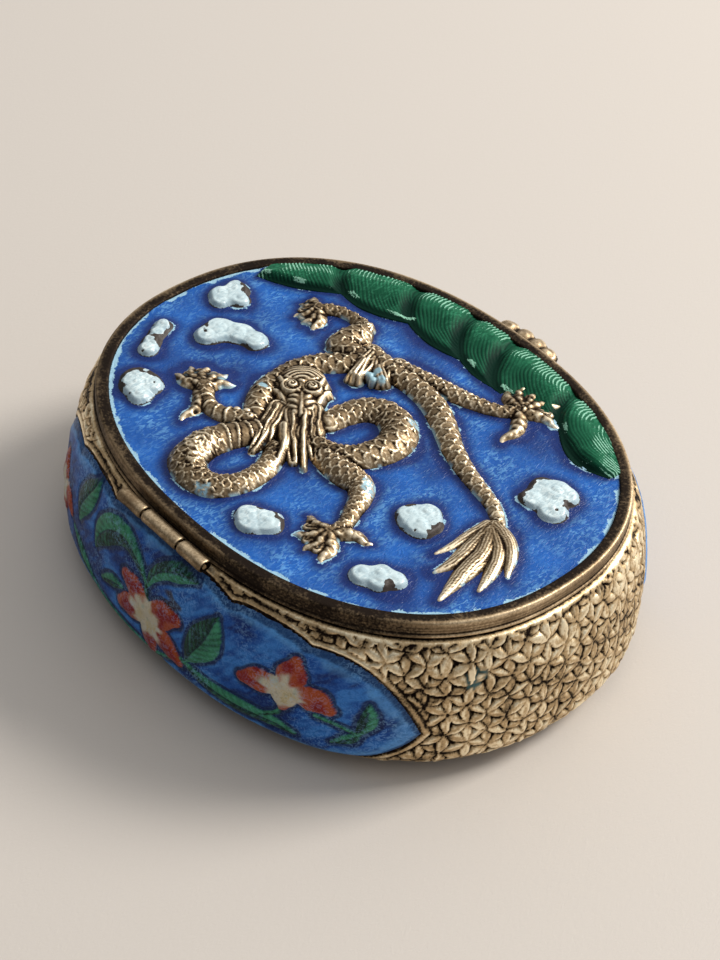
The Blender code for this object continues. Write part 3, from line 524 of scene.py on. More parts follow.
# %% Locks, whiskers and the flames of the tail
# Each lock also has the height at which it lies, above the dragon's own level
LOCK_RUNS = {
    "long_whisker": (1.1, [(4.6, 5.0, 0.9), (2.6, 6.9, 0.7), (0.4, 8.9, 0.6), (-2.3, 11.0, 0.3)]),
    "short_whisker": (
        1.1, [(4.2, 8.6, 0.9), (2.0, 10.4, 0.8), (0.8, 12.2, 0.6), (-0.2, 13.8, 0.3)]
    ),
    "mane_left": (0.55, [(4.8, 3.6, 1.5), (2.4, 5.8, 1.5), (0.4, 7.4, 1.2), (-1.6, 8.6, 0.6)]),
    "mane_middle": (0.7, [(5.6, 6.0, 1.4), (3.2, 8.2, 1.4), (1.2, 9.8, 1.1), (-0.6, 11.2, 0.5)]),
    "mane_right": (0.5, [(7.6, 6.6, 1.5), (6.0, 9.4, 1.5), (4.6, 12.0, 1.1), (3.8, 13.8, 0.5)]),
    "belly_lock": (0.9, [(6.4, -4.6, 0.6), (7.6, -7.2, 0.8), (9.0, -10.4, 0.5)]),
    "belly_tuft": (0.7, [(3.6, -6.8, 0.5), (5.6, -8.0, 0.9), (7.4, -9.6, 0.8)]),
    "tail_flame_1": (
        0, [(-23.0, -0.2, 0.9), (-25.4, 0.4, 1.0), (-27.6, 1.9, 0.8), (-29.7, 4.5, 0.25)]
    ),
    "tail_flame_2": (
        0, [(-23.3, 0.6, 0.9), (-26.2, 2.6, 1.0), (-28.0, 5.2, 0.8), (-29.3, 8.5, 0.25)]
    ),
    "tail_flame_3": (
        0, [(-23.4, 1.0, 0.9), (-25.4, 4.2, 1.2), (-26.3, 8.0, 1.0), (-27.6, 13.0, 0.25)]
    ),
    "tail_flame_4": (
        0, [(-22.9, 1.0, 0.8), (-23.9, 4.6, 1.0), (-24.4, 7.6, 0.8), (-24.1, 10.5, 0.25)]
    ),
    "tail_flame_5": (
        0, [(-22.4, 0.4, 0.8), (-22.3, 3.2, 0.7), (-22.3, 5.8, 0.5), (-22.0, 8.3, 0.2)]
    ),
}

# %% The grid of the relief
across = np.arange(-34.0, 34.0, CELL)
upward = np.arange(-27.2, 27.2, CELL)
GX, GY = np.meshgrid(across, upward)
print("relief grid:", GX.shape)


# %% Runs and their relief
def smooth_run(stations, steps=8):
    """Points on a smooth curve through the stations."""
    stations = np.array(stations, float)
    last = len(stations) - 1
    points = []
    for index in range(last):
        a, b = stations[max(index - 1, 0)], stations[index]
        c, d = stations[index + 1], stations[min(index + 2, last)]
        for t in np.arange(steps) / steps:
            bend = (2 * a - 5 * b + 4 * c - d) * t * t + (3 * b - a - 3 * c + d) * t**3
            points.append(b + 0.5 * ((c - a) * t + bend))
    points.append(stations[last])
    return np.array(points)


def along_run(x, y, run):
    """For each point: how far along the run, how far across, and the radius there."""
    best = np.full(x.shape, 1e9)
    along, side, radius = np.zeros(x.shape), np.zeros(x.shape), np.ones(x.shape)
    travelled = 0.0
    for start, end in zip(run, run[1:]):
        step = end - start
        size = math.hypot(step[0], step[1])
        t = np.clip(((x - start[0]) * step[0] + (y - start[1]) * step[1]) / size**2, 0, 1)
        dx, dy = x - start[0] - t * step[0], y - start[1] - t * step[1]
        gap = np.hypot(dx, dy)
        near = gap < best
        best = np.where(near, gap, best)
        along = np.where(near, travelled + t * size, along)
        side = np.where(near, np.sign(step[0] * dy - step[1] * dx) * gap, side)
        radius = np.where(near, start[2] + t * step[2], radius)
        travelled += size
    return along, side, radius, travelled


# %% A relief that is built up run by run
class Relief:
    """The heights of a piece of relief, built up run by run."""

    def __init__(self, floor):
        self.top = np.full(GX.shape, floor, float)

    def take(self, run, margin, shape):
        """Raises the relief to shape(along, side, radius, length, x, y) near a run."""
        reach = run[:, 2].max() + margin
        i = np.searchsorted(across, [run[:, 0].min() - reach, run[:, 0].max() + reach])
        j = np.searchsorted(upward, [run[:, 1].min() - reach, run[:, 1].max() + reach])
        part = (slice(j[0], j[1]), slice(i[0], i[1]))
        height = shape(*along_run(GX[part], GY[part], run), GX[part], GY[part])
        self.top[part] = np.maximum(self.top[part], height)


# %% Arch, scales, plates and hair
# How steeply a relief goes on falling outside its edge
FALL = 2.2


def arch(side, radius, flatness=0.72, power=2.3):
    """A rounded section that goes on falling outside its radius."""
    share = np.abs(side) / radius
    inside = radius * flatness * (1 - np.minimum(share, 1) ** power)
    return np.where(share < 1, inside, -(np.abs(side) - radius) * FALL)


def scales(along, side, radius, pitch=1.7, depth=0.19):
    """Overlapping scales in rows: each is hollow and has a raised free edge."""
    bent = radius * np.arcsin(np.clip(side / radius, -1, 1))
    bent = bent + 0.14 * waver(along, side, 1.9, 3)
    along = along + 0.14 * waver(along, side, 1.9, 4)
    step = pitch * 0.56
    best = np.zeros(along.shape)
    row = np.floor(along / step)
    found = np.zeros(along.shape, bool)
    for ahead in (1, 0, -1, -2):
        number = row + ahead
        offset = np.mod(number, 2) * pitch / 2
        centre = np.round((bent - offset) / pitch) * pitch + offset
        far = np.hypot((along - number * step) * 0.92, bent - centre) / (pitch * 0.6)
        new = (far < 1) & ~found
        best = np.where(new, far, best)
        found |= new
    edge = ease(best, 0.76, 0.97)
    return depth * (edge + 0.3 * best) - 0.03 * np.abs(waver(along, side, 0.35, 6))


def scutes(along, side, radius, pitch=1.45, depth=0.2):
    """Broad plates across a coil, each with a thin raised edge."""
    wave = np.mod(
        along / pitch + 0.25 * (side / radius) ** 2 + 0.12 * waver(along, side, 1.4, 2), 1
    )
    return (
        depth * (0.35 * wave + ease(wave, 0.72, 0.94)) - 0.04 * np.abs(waver(along, side, 0.4, 6))
    )


def strands(side, pitch=0.42, depth=0.11):
    """Hair: fine ridges that run along a lock."""
    return depth * np.abs(np.cos(math.pi * side / pitch))

# %% [markdown]
# ## The dragon
# It is one casting with the lid: long scaled coils, clawed feet, a mane and a head seen
# from above. Each scale could be a mesh of its own, but that would be heavy and would
# not melt together as a casting does. So every part is an arched run, and the scales,
# belly plates and hairs are cut into its arch. Their edges catch the light as the worn
# ones do.

# %% Scaled limbs
dragon = Relief(DRAGON_LEVEL - 4)


def scaled(lift, pitch, plates):
    """A coil or limb with scales, and broad plates over one stretch of it."""

    def shape(along, side, radius, length, x, y):
        pattern = scales(along, side, radius, pitch)
        share = (
            ease(along, plates[0] - 0.7, plates[0] + 0.7)
            * ease(along, plates[1] + 0.7, plates[1] - 0.7)
        )
        pattern = pattern * (1 - share) + scutes(along, side, radius) * share
        inside = 1 - np.clip(np.abs(side) / radius, 0, 1) ** 8
        return DRAGON_LEVEL + lift + arch(side, radius) + pattern * inside

    return shape


# %% Locks, combed hair and claws
def hairy(lift, flatness=0.75, pitch=0.42, cut=0.11, droop=0.0):
    """A lock with fine ridges along it, which may sink towards its end."""

    def shape(along, side, radius, length, x, y):
        inside = 1 - np.clip(np.abs(side) / radius, 0, 1) ** 6
        wave = side + 0.1 * waver(x, y, 1.6, 5) + 0.07 * waver(x, y, 0.6, 23)
        hair = strands(wave, pitch, cut) * inside
        sunk = droop * ease(along / length, 0.35, 1.0)
        return DRAGON_LEVEL + lift - sunk + arch(side, radius, flatness) + hair

    return shape


def combed(lift):
    """A mass of hair: fine uneven strands, gathered in a few ridges and ragged at its end."""

    def shape(along, side, radius, length, x, y):
        share = along / length
        wave = (
            side * (1 + 0.35 * share) + 0.22 * waver(x, y, 1.5, 24) + 0.06 * waver(x, y, 0.6, 25)
        )
        fine = 0.23 * np.abs(np.cos(math.pi * wave / 0.45)) * (0.8 + 0.5 * waver(x, y, 0.8, 26))
        ridges = 0.1 * np.cos(math.tau * wave / 1.05)
        ragged = 0.55 * ease(share + 0.22 * np.cos(math.tau * wave / 1.05 + 1.0), 0.6, 1.05)
        inside = 1 - np.clip(np.abs(side) / radius, 0, 1) ** 6
        return DRAGON_LEVEL + lift + arch(side, radius, 0.42) + (fine + ridges) * inside - ragged

    return shape


def clawed(lift=0.15):
    """A toe: knuckles near the foot, then a smooth pointed claw."""

    def shape(along, side, radius, length, x, y):
        share = along / length
        knuckles = 0.09 * np.abs(np.sin(math.pi * along / 1.1)) * ease(share, 0.75, 0.45)
        worn = 0.09 * waver(x, y, 0.55, 21) - 0.12 * ease(waver(x, y, 0.7, 22), 0.2, 0.7)
        return (
            DRAGON_LEVEL
            + lift * (1 - share)
            + arch(side, radius, 0.72, 1.7)
            + knuckles
            + worn * ease(np.abs(side) / radius, 1.0, 0.6)
        )

    return shape


def lock_of_strands(stations, lift):
    """Lays seven thin strands side by side along a lock, each with its own bend and end."""
    spine = smooth_run(stations)
    heading = np.gradient(spine[:, :2], axis=0)
    heading /= np.hypot(heading[:, 0], heading[:, 1])[:, None]
    for index, offset in enumerate((-1.0, -0.66, -0.33, 0.0, 0.33, 0.66, 1.0)):
        length = len(spine) - (0, 5, 2, 7, 1, 6, 3)[index]
        share = np.linspace(0, 1, length)
        shift = offset * spine[:length, 2] * (1 + 0.4 * np.sin(3.4 * share + index * 1.7))
        strand = np.stack([
            spine[:length, 0] - heading[:length, 1] * shift,
            spine[:length, 1] + heading[:length, 0] * shift,
            0.12 + 0.27 * spine[:length, 2] * (1 - 0.7 * share**2),
        ], axis=1)
        dragon.take(
            strand,
            1.2,
            hairy(lift + 0.45 - 0.3 * abs(offset) + 0.16 * (index % 2), 0.95, 0.42, 0.1),
        )


# %% Body and legs
NO_PLATES = (99.0, 99.0)
SCALE_PITCH, SMALL_SCALES, LEG_SCALES = 1.75, 1.35, 1.4
TAIL_SPREAD, WHISKER_SLIM = 1.3, 0.78
# Where broad plates start and end along a run
PLATES = {"upper_coil": (22.0, 34.0), "shoulder": (-1.0, 1.5), "back_leg": (2.0, 8.0)}
for name, stations in BODY_RUNS.items():
    pitch = SMALL_SCALES if name == "upper_coil" else SCALE_PITCH
    dragon.take(smooth_run(stations), 1.6, scaled(0, pitch, PLATES.get(name, NO_PLATES)))
for name, stations in LEG_RUNS.items():
    plates = PLATES.get(name, NO_PLATES)
    dragon.take(smooth_run(stations), 1.6, scaled(0.1, LEG_SCALES, plates))
print("highest scale at", round(float(dragon.top.max()), 2), "mm")

# %% [markdown]
# ### Fur in the upper coil
# Part of the upper coil has fur over its scales. Its hairs spread like spokes from the
# eye of the coil. Runs could lay them one by one, but the angle round that point gives
# them all at once, and a little noise keeps them from looking ruled.

# %% Fur
COIL_EYE = (3.9, 16.5)
FUR_TOWARDS = 42
from_eye = np.hypot(GX - COIL_EYE[0], GY - COIL_EYE[1])
spoke = np.degrees(np.arctan2(GY - COIL_EYE[1], GX - COIL_EYE[0])) + 6 * waver(GX, GY, 1.3, 16)
fur = ease(np.abs(spoke - FUR_TOWARDS), 44, 30)
fur = fur * ease(from_eye + 0.8 * waver(GX, GY, 0.8, 17), 6.6, 5.6) * ease(from_eye, 2.3, 3.0)
fur = fur * ease(dragon.top, SKY_TOP + 0.2, SKY_TOP + 0.7)
curls = (
    np.cos(np.radians(spoke) * 26 + 2.2 * waver(GX, GY, 1.0, 18))
    * (0.6 + 0.5 * waver(GX, GY, 0.9, 19))
)
dragon.top = dragon.top + fur * (0.2 + 0.15 * curls)
print("fur covers", round(float(fur.sum()) * CELL**2, 1), "square mm")

# %% [markdown]
# ### Toes, mane and tail
# A toe is bent at its knuckle and ends in a smooth pointed claw, and toes that lie
# close together have a web between them. The mane is a mass of combed hair, the tail
# ends in five flames, and the whiskers sink towards their ends. All are runs like the
# body's, because they have to melt into it where they start.

# %% Toes, webs, mane and tail
for leg, tips in TOE_TIPS.items():
    foot = np.array(LEG_RUNS[leg][-1][:2])
    for tip, other in zip(tips, tips[1:]):
        middle_of = (np.array(tip) + np.array(other)) / 2 - foot
        if np.hypot(*(np.array(tip) - np.array(other))) < 4.2:
            web = [
                (*foot, 1.0), (*(foot + middle_of * 0.4), 1.25), (*(foot + middle_of * 0.72), 0.8)
            ]
            dragon.take(smooth_run(web), 1.6, hairy(0, 0.5, 0.5, 0.16))
    for tip in tips:
        reach = np.array(tip) - foot
        knuckle = foot + reach * 0.55 + np.array([-reach[1], reach[0]]) * 0.12
        toe = [
            (*(foot + reach * 0.1), 1.1),
            (*knuckle, 0.95),
            (*(foot + reach * 0.85), 0.62),
            (*tip, 0.22),
        ]
        dragon.take(smooth_run(toe), 1.6, clawed())
for name, (lift, stations) in LOCK_RUNS.items():
    if name.startswith("tail"):
        broad = [(x, y, radius * TAIL_SPREAD) for x, y, radius in stations]
        dragon.take(smooth_run(broad), 1.6, hairy(lift, 0.62, 0.36, 0.13))
    elif name.startswith("mane"):
        dragon.take(smooth_run(stations), 1.6, combed(lift + 0.15))
    elif name.startswith("belly"):
        dragon.take(smooth_run(stations), 1.6, hairy(lift, 0.3, 0.5, 0.2))
        lock_of_strands(stations, lift)
    else:
        slim = [(x, y, radius * WHISKER_SLIM) for x, y, radius in stations]
        dragon.take(smooth_run(slim), 1.6, hairy(lift + 0.1, 0.8, 0.62, 0.2, 0.75))
print("toes:", sum(len(tips) for tips in TOE_TIPS.values()), "locks:", len(LOCK_RUNS))

# %% [markdown]
# ### The head
# The head is a skull, a muzzle, bulging eyes in wrinkled rings, and ridges and small
# curls on both sides. It is turned across the picture. Its parts could be placed in the
# lid's directions, but they are given ahead of the eyes and aside from the nose, so
# that one loop with a hand of -1 and 1 makes both sides alike.

# %% The head's own directions
HEAD = (8.25, 2.4)
FORWARD = (-0.752, 0.659)
AF = (GX - HEAD[0]) * FORWARD[0] + (GY - HEAD[1]) * FORWARD[1]
AS = (GX - HEAD[0]) * FORWARD[1] - (GY - HEAD[1]) * FORWARD[0]


def dome(ahead, aside, half_length, half_width, height, lift):
    """A rounded mass of the head, placed ahead of the eyes and to one side."""
    far = np.hypot((AF - ahead) / half_length, (AS - aside) / half_width)
    inside = height * np.sqrt(np.clip(1 - far**2, 0, 1))
    outside = -(far - 1) * min(half_length, half_width) * FALL
    return DRAGON_LEVEL + lift + np.where(far < 1, inside, outside)


def head_run(stations, lift, pitch=0.4):
    """A ridge or frill on the head, in the head's own directions."""
    run = []
    for ahead, aside, radius in stations:
        x = HEAD[0] + ahead * FORWARD[0] + aside * FORWARD[1]
        y = HEAD[1] + ahead * FORWARD[1] - aside * FORWARD[0]
        run.append((x, y, radius))
    dragon.take(smooth_run(run), 1.4, hairy(lift, 0.7, pitch))


# %% Skull and muzzle
skull = dome(-1.5, 0, 3.5, 3.3, 1.9, 0.3)
folds = np.hypot(AF - 0.6, AS) + 0.32 * waver(GX, GY, 1.5, 9)
head_hair = np.cos(math.tau * folds / 0.66) * (0.65 + 0.5 * waver(GX, GY, 1.1, 8))
skull = skull + 0.13 * head_hair * ease(AF, 0.6, -0.6) * (skull > SKY_TOP)
muzzle = dome(2.7, 0, 3.4, 2.1, 1.5, 0.4)
lips = np.abs(np.cos(math.pi * (AF + 0.6 * np.abs(AS) + 0.2 * waver(GX, GY, 1.2, 7)) / 1.15))
muzzle = muzzle + 0.22 * lips**2 * ease(np.abs(AS), 0.2, 0.9) * (muzzle > SKY_TOP)
dragon.top = np.maximum(dragon.top, np.maximum(skull, muzzle))

# %% Ridges and curls
for hand in (-1, 1):
    head_run(
        [
            (4.4, hand * 1.1, 0.3),
            (2.6, hand * 1.9, 0.45),
            (0.8, hand * 2.5, 0.5),
            (-0.6, hand * 3.0, 0.3),
        ],
        0.95,
    )
    for index in range(5):
        turn = math.radians(28 + 24 * index)
        root = (1.0 - 0.75 * index, hand * (2.2 + 0.12 * index))
        end = (root[0] - 1.9 * math.sin(turn), root[1] + hand * 1.5 * math.cos(turn))
        between = ((root[0] + end[0]) / 2 - 0.2, (root[1] + end[1]) / 2 + hand * 0.15)
        head_run([(*root, 0.42), (*between, 0.38), (*end, 0.16)], 0.95 + 0.1 * (index % 2))
    head_run(
        [
            (1.0, hand * 0.35, 0.3),
            (0.5, hand * 1.2, 0.4),
            (-0.5, hand * 2.2, 0.36),
            (-1.6, hand * 2.7, 0.22),
        ],
        1.7,
    )
    head_run([(-0.2, hand * 0.3, 0.2), (-0.9, hand * 1.0, 0.26), (-1.5, hand * 1.9, 0.2)], 1.85)
    head_run([(2.2, hand * 0.5, 0.25), (2.6, hand * 1.2, 0.32), (3.5, hand * 1.7, 0.2)], 1.25)
    dragon.top = np.maximum(dragon.top, dome(4.7, hand * 0.7, 0.75, 0.6, 0.5, 1.3))
head_run([(0.8, 0, 0.2), (2.2, 0, 0.34), (4.0, 0, 0.42), (5.2, 0, 0.36)], 1.6, 0.9)

# %% Eyes
for hand in (-1, 1):
    ring = np.hypot(AF - 0.1 + 0.12 * hand, AS - hand * 1.25) + 0.05 * waver(GX, GY, 0.7, 14)
    turn = np.arctan2(AS - hand * 1.25, AF)
    ball = 0.55 * np.sqrt(np.clip(1 - (ring / 0.85) ** 2, 0, 1))
    lids = (
        0.3 * np.exp(-(((ring - 1.1) / 0.18) ** 2))
        + 0.13 * np.cos(math.tau * (ring / 0.46) + turn) * (ring < 0.95)
    )
    socket = DRAGON_LEVEL + 1.75 + ball + lids
    inner = np.maximum(dragon.top - 0.3 * ease(ring, 1.3, 0.9), socket)
    dragon.top = np.where(ring < 1.3, inner, dragon.top)

# %% Beads beside the body, some with enamel on them
BEADS = [(5.4, -6.3), (3.7, -6.7), (5.1, -7.3), (4.5, -6.0), (10.2, 11.0), (9.3, 10.2)]
GLAZED_BEADS = 4
bead_near = np.full(GX.shape, 9.0)
glass_near = np.full(GX.shape, 9.0)
for index, (x, y) in enumerate(BEADS):
    gap = np.hypot(GX - x, GY - y)
    bead_near = np.minimum(bead_near, gap)
    if index < GLAZED_BEADS:
        glass_near = np.minimum(glass_near, gap)
bead = SKY_TOP + 0.75 + 0.5 * np.sqrt(np.clip(1 - (bead_near / 0.55) ** 2, 0, 1))
dragon.top = np.where(bead_near < 0.55, np.maximum(dragon.top, bead), dragon.top)
print("head highest at", round(float(dragon.top.max()), 2), "mm")

# %% [markdown]
# ### The dragon's sheet and finish
# The relief becomes one sheet, cut off where it dips under the sky. Its wear could be
# set by height alone, but then broad high places would be too bright, so each point is
# weighed against what is round it. In the low places some glass stuck to the metal when
# the sky was fired: a second mask lays those flecks over the bronze.

# %% Dragon sheet
# The fur is made 0.2 brighter as a whole: a painted highlight on its hairs.
dragon_rub = rub_of(np.maximum(dragon.top, SKY_TOP - 0.3), CELL, 7.5) + 0.2 * fur
# Paws and mane are out of reach of a rubbing thumb, so they stay darker
DULL_SPOTS = [(*run[-1][:2], 0.16, 7.0) for run in LEG_RUNS.values()] + [(3.2, 9.0, 0.1, 6.0)]
for x, y, share, reach in DULL_SPOTS:
    far = np.hypot(GX - x, GY - y)
    dragon_rub = dragon_rub - share * ease(far, reach, 4.0)
low_edge = ease(dragon.top, SKY_TOP + 0.5, SKY_TOP + 0.05)
glazed = low_edge * ease(waver(GX, GY, 1.4, 11) + 0.5 * waver(GX, GY, 0.5, 12), 0.25, 0.7)
GLAZE_SPOTS = [
    (-9.7, 7.2, 1.4), (11.8, 6.4, 0.7), (-5.3, -4.5, 1.1), (2.2, 23.1, 0.7), (4.8, -6.8, 0.9)
]
for x, y, reach in GLAZE_SPOTS:
    spot = ease(np.hypot(GX - x, GY - y) + 0.8 * waver(GX, GY, 0.8, 13), reach, reach * 0.7)
    glazed = np.maximum(glazed, spot * ease(dragon_rub, 0.75, 0.45))
glazed = np.maximum(glazed, ease(glass_near, 0.6, 0.45))
keep = soften(np.where(dragon.top > SKY_TOP - 0.45, 1.0, 0.0), 1) > 0
dragon_piece = surface(
    "dragon",
    np.stack([GX, GY, dragon.top], axis=2),
    keep,
    {"rub": np.clip(dragon_rub, 0, 1), "glaze": glazed},
)

# %% Flecks of spilt enamel on the bronze
lay_over(relief_bronze, "glaze", (0.34, 0.54, 0.62))
print("dragon sheet:", len(dragon_piece.data.polygons), "faces")

# %% [markdown]
# ## Clouds
# The clouds are thick dabs of white enamel with swirls left by the tool, chipped at
# their edges down to dark metal. Each is a few round puffs that melt together.
# Metaballs would give such a shape too, but a sheet shares its grid with the dragon, so
# it can be chipped and swirled by the same formulas and meets the sky in a clean line.

# %% Clouds
CLOUDS = [
    (-5.5, 21.0, [(-1.2, -0.6, 1.9), (1.0, 0.2, 2.0), (-0.2, 0.9, 1.7), (-1.0, -1.4, 1.3)]),
    (-20.8, 15.9, [(-1.8, -0.9, 1.5), (0, 0, 1.9), (1.4, 1.3, 1.7), (-0.9, 0.6, 1.4)]),
    (-16.8, 6.0, [(-0.8, 0.6, 2.2), (1.0, 0.4, 2.0), (0, -1.2, 2.0), (-1.9, -0.6, 1.1)]),
    (-23.8, -8.6, [
        (-1.6, 1.4, 2.0), (1.4, 1.4, 1.9), (0.4, -1.2, 2.4), (-1.0, -2.0, 1.5), (2.2, -0.9, 1.7),
    ]),
    (21.5, 17.0, [
        (-1.6, 1.3, 1.5), (0.2, 0.3, 2.2), (1.6, -0.6, 1.8), (-0.9, -1.2, 1.5), (0.6, -1.4, 1.5),
    ]),
    (28.1, 9.7, [(-1.5, 2.2, 1.4), (-0.6, 0.8, 1.3), (0.3, -0.8, 1.3), (1.0, -2.3, 1.3)]),
    (22.8, 2.0, [
        (-2.8, -2.0, 1.8), (-0.6, -1.3, 2.1), (1.5, 0.2, 2.3), (1.5, 2.2, 1.9), (-3.6, -1.4, 1.0),
    ]),
    (29.0, -3.4, [
        (-1.6, -0.3, 1.5), (0.2, -1.0, 1.9), (0.9, 0.9, 1.8), (-0.2, 1.9, 1.3), (1.2, -1.8, 1.2),
    ]),
]
WHITES = {
    "Base": (0.56, 0.69, 0.72),
    "Deep": (0.16, 0.28, 0.36),
    "Pale": (0.78, 0.88, 0.88),
    "Chipped": (0.035, 0.022, 0.014),
}
cloud_white = new_finish(
    "cloud_white", enamel_group, WHITES, {"Pool": "pool", "Chip": "chip"}, 0.04
)

# %% Cloud pieces
cloud_tops = np.full(GX.shape, SKY_TOP - 4.0)
for number, (x, y, puffs) in enumerate(CLOUDS, 1):
    closest = np.full(GX.shape, -9.0)
    joined = np.zeros(GX.shape)
    swirl = np.zeros(GX.shape)
    for dx, dy, radius in puffs:
        gap = np.hypot(GX - x - dx, GY - y - dy)
        swirl = np.where(
            radius - gap > closest, gap + 0.12 * np.arctan2(GY - y - dy, GX - x - dx), swirl
        )
        closest = np.maximum(closest, radius - gap)
        joined += np.exp(np.clip(radius - gap, -9, 9) / 0.4)
    inside = 0.4 * np.log(joined) - 0.12 + 0.16 * waver(GX, GY, 1.5, number)
    body = (
        0.62 * ease(inside, -0.1, 0.55)
        + 0.3 * ease(inside, 0.3, 2.6)
        + 0.07 * waver(GX, GY, 1.7, number + 20)
    )
    body = body + 0.09 * np.abs(waver(GX, GY, 1.0, number + 70))
    body = body - 0.05 * ease(np.cos(math.tau * swirl / 1.3), -0.4, -0.95)
    top = SKY_TOP + np.where(inside > -0.1, body, (inside + 0.1) * FALL)
    ragged = waver(GX, GY, 1.2, number + 30) + 0.5 * waver(GX, GY, 0.5, number + 40)
    shaded = ease(waver(GX, GY, 2.6, number + 60) + 0.25 * (GX - x - GY + y) / 2, -0.5, 0.8)
    chip = ease(inside - shaded * (0.62 + 1.05 * ragged), 0.3, -0.25) * (inside > -0.4) * 0.97
    pit = ease(ragged + 0.4 * waver(GX, GY, 2.0, number + 50), 1.12, 1.28) * (inside > 0)
    chip = np.clip(chip + pit, 0, 1)
    top = top - 0.16 * pit
    pool = np.clip(
        0.5 * ease(inside, 0.7, 0.1) + 0.3 * ease(waver(GX, GY, 0.9, number + 80), 0.3, 0.9), 0, 1
    )
    cloud_tops = np.maximum(cloud_tops, top)
    piece = surface(
        f"cloud_dab_{number}",
        np.stack([GX, GY, top], axis=2),
        top > SKY_TOP - 0.6,
        {"pool": pool, "chip": chip},
    )
    dress(piece, "lid", "cloud_enamel", cloud_white, f"cloud_{number}")

# %% [markdown]
# ## Waves
# The waves are green fans: rings round a point near the rim, each fan lapping over the
# next one to its right. The rings could be a bump in the finish, but they stop sharply
# where one fan covers another, and light picks out each line, so they are cut into the
# sheet. As they are only 0.42 mm apart, this sheet has a finer grid.

# %% Places of the fans
WAVE_CUSPS = [
    (-25.4, -17.0, 2.1), (-15.5, -18.6, 0.3), (-4.9, -17.7, 0.5), (1.6, -18.3, 0.9),
    (11.0, -18.1, 1.1), (20.8, -15.2, 0.8), (30.3, -8.9, 0.0),
]
# Each fan: its centre and the radius of its outermost ring
FANS = [
    (-23.0, -24.5, 8.6),
    (-14.5, -26.0, 11.3),
    (-5.5, -26.0, 9.6),
    (2.0, -26.0, 10.7),
    (11.5, -24.5, 11.9),
    (21.0, -20.5, 14.5),
]
FAN_STRETCH = 1.25
RING_PITCH = 0.42


def wave_edge(x):
    """The height in the picture of the waves' scalloped inner edge."""
    y = np.full(x.shape, -60.0)
    for (x0, y0, swell), (x1, y1, _) in zip(WAVE_CUSPS, WAVE_CUSPS[1:]):
        share = (x - x0) / (x1 - x0)
        line = y0 + (y1 - y0) * share + swell * np.sin(math.pi * np.clip(share, 0, 1))
        y = np.where((share >= 0) & (share <= 1), line, y)
    first, last = WAVE_CUSPS[0], WAVE_CUSPS[-1]
    y = np.where(x < first[0], first[1] - (first[0] - x) * 2.5, y)
    return np.where(x > last[0], last[1] - (x - last[0]) * 2.5, y)


def rim_gap(x, y):
    """How far a point lies inside the lid's field, in millimetres."""
    power = OUTLINE_POWER
    rho = (np.abs(x) / FIELD_HALF[0]) ** power + (np.abs(y) / FIELD_HALF[1]) ** power
    rho = rho ** (1 / power)
    return (1 - rho) / np.maximum(rho, 0.05) * np.hypot(x, y)


# %% Rings of the fans
WAVE_CELL = 0.1
WX, WY = np.meshgrid(np.arange(-31.0, 33.5, WAVE_CELL), np.arange(-27.2, -7.5, WAVE_CELL))
rows = np.clip(np.round((WY - upward[0]) / CELL).astype(int), 0, len(upward) - 1)
columns = np.clip(np.round((WX - across[0]) / CELL).astype(int), 0, len(across) - 1)
foot_top = dragon.top[rows, columns]
rim = rim_gap(WX, WY)
depth_in = (wave_edge(WX) - WY) * 0.9
fan_gap = np.full(WX.shape, 9.0)
cleft = np.full(WX.shape, 9.0)
ring_at = np.zeros(WX.shape)
taken = np.zeros(WX.shape, bool)
for x, y, radius in FANS:
    ring = np.hypot((WX - x) / FAN_STRETCH, WY - y)
    mine = (ring < radius) & ~taken
    fan_gap = np.where(mine, radius - ring, fan_gap)
    cleft = np.where(taken, cleft, np.minimum(cleft, np.abs(ring - radius)))
    ring_at = np.where(mine, ring, ring_at)
    taken |= mine
lines = np.cos(math.tau * (ring_at + 0.22 * waver(WX, WY, 2.2, 60)) / RING_PITCH)
lines = lines * (0.6 + 0.6 * waver(WX, WY, 1.3, 63))

# %% Height, wear and finish of the waves
crest = np.minimum(ease(cleft, 0.0, 1.5), ease(depth_in, 0.0, 1.2))
swell = 0.1 + crest * (0.45 + 0.55 * ease(rim, 0.6, 2.6) * ease(rim, 6.5, 3.0))
waves = SKY_TOP + swell + 0.045 * lines * ease(depth_in, 0.0, 1.0) + 0.06 * waver(WX, WY, 1.6, 61)
waves = np.where(depth_in > 0, waves, SKY_TOP + 0.15 + depth_in * FALL)
waves = waves - 0.35 * ease(rim, 0.8, 0.0)
waves = waves - 0.2 * ease(foot_top - waves, -0.6, 0.2)
# Paler towards the rim: partly paler enamel and partly painted highlight.
pale = ease(rim + 0.9 * waver(WX, WY, 2.4, 64), 5.0, 0.8)
pool = 0.95 * ease(cleft, 1.2, 0.1) + ease(depth_in, 1.2, 0.1) + 0.6 * ease(lines, 0.3, -0.7)
pool = np.clip(pool * (1 - 0.45 * pale) + 0.35 * ease(rim, 2.5, 5.5), 0, 1)
# Near the rim the chip mask lays pale lines along the rings: painted highlights in the chipped
# colour. The band along the inner edge is worn enamel.
chip = np.clip(0.8 * pale * ease(lines, -0.2, 0.8) * ease(cleft, 0.3, 1.2) + 0.1 * pale, 0, 1)
worn = ease(np.abs(depth_in - 0.9), 0.5, 0.15) * ease(waver(WX, WY, 2.0, 65), 0.0, 0.7)
chip = np.maximum(chip, 0.6 * worn)
GREENS = {
    "Base": (0.012, 0.115, 0.055),
    "Deep": (0.002, 0.020, 0.012),
    "Pale": (0.035, 0.21, 0.11),
    "Chipped": (0.26, 0.52, 0.38),
}
wave_green = new_finish(
    "wave_green", enamel_group, GREENS, {"Pool": "pool", "Chip": "chip"}, 0.03, 0.0, 0.05, 0.24
)
inside_lid = (rim > -0.25) & (depth_in > -0.6)
wave_piece = surface(
    "waves", np.stack([WX, WY, waves], axis=2), inside_lid, {"pool": pool, "chip": chip}
)
dress(wave_piece, "lid", "wave_enamel", wave_green, "wave_enamel")
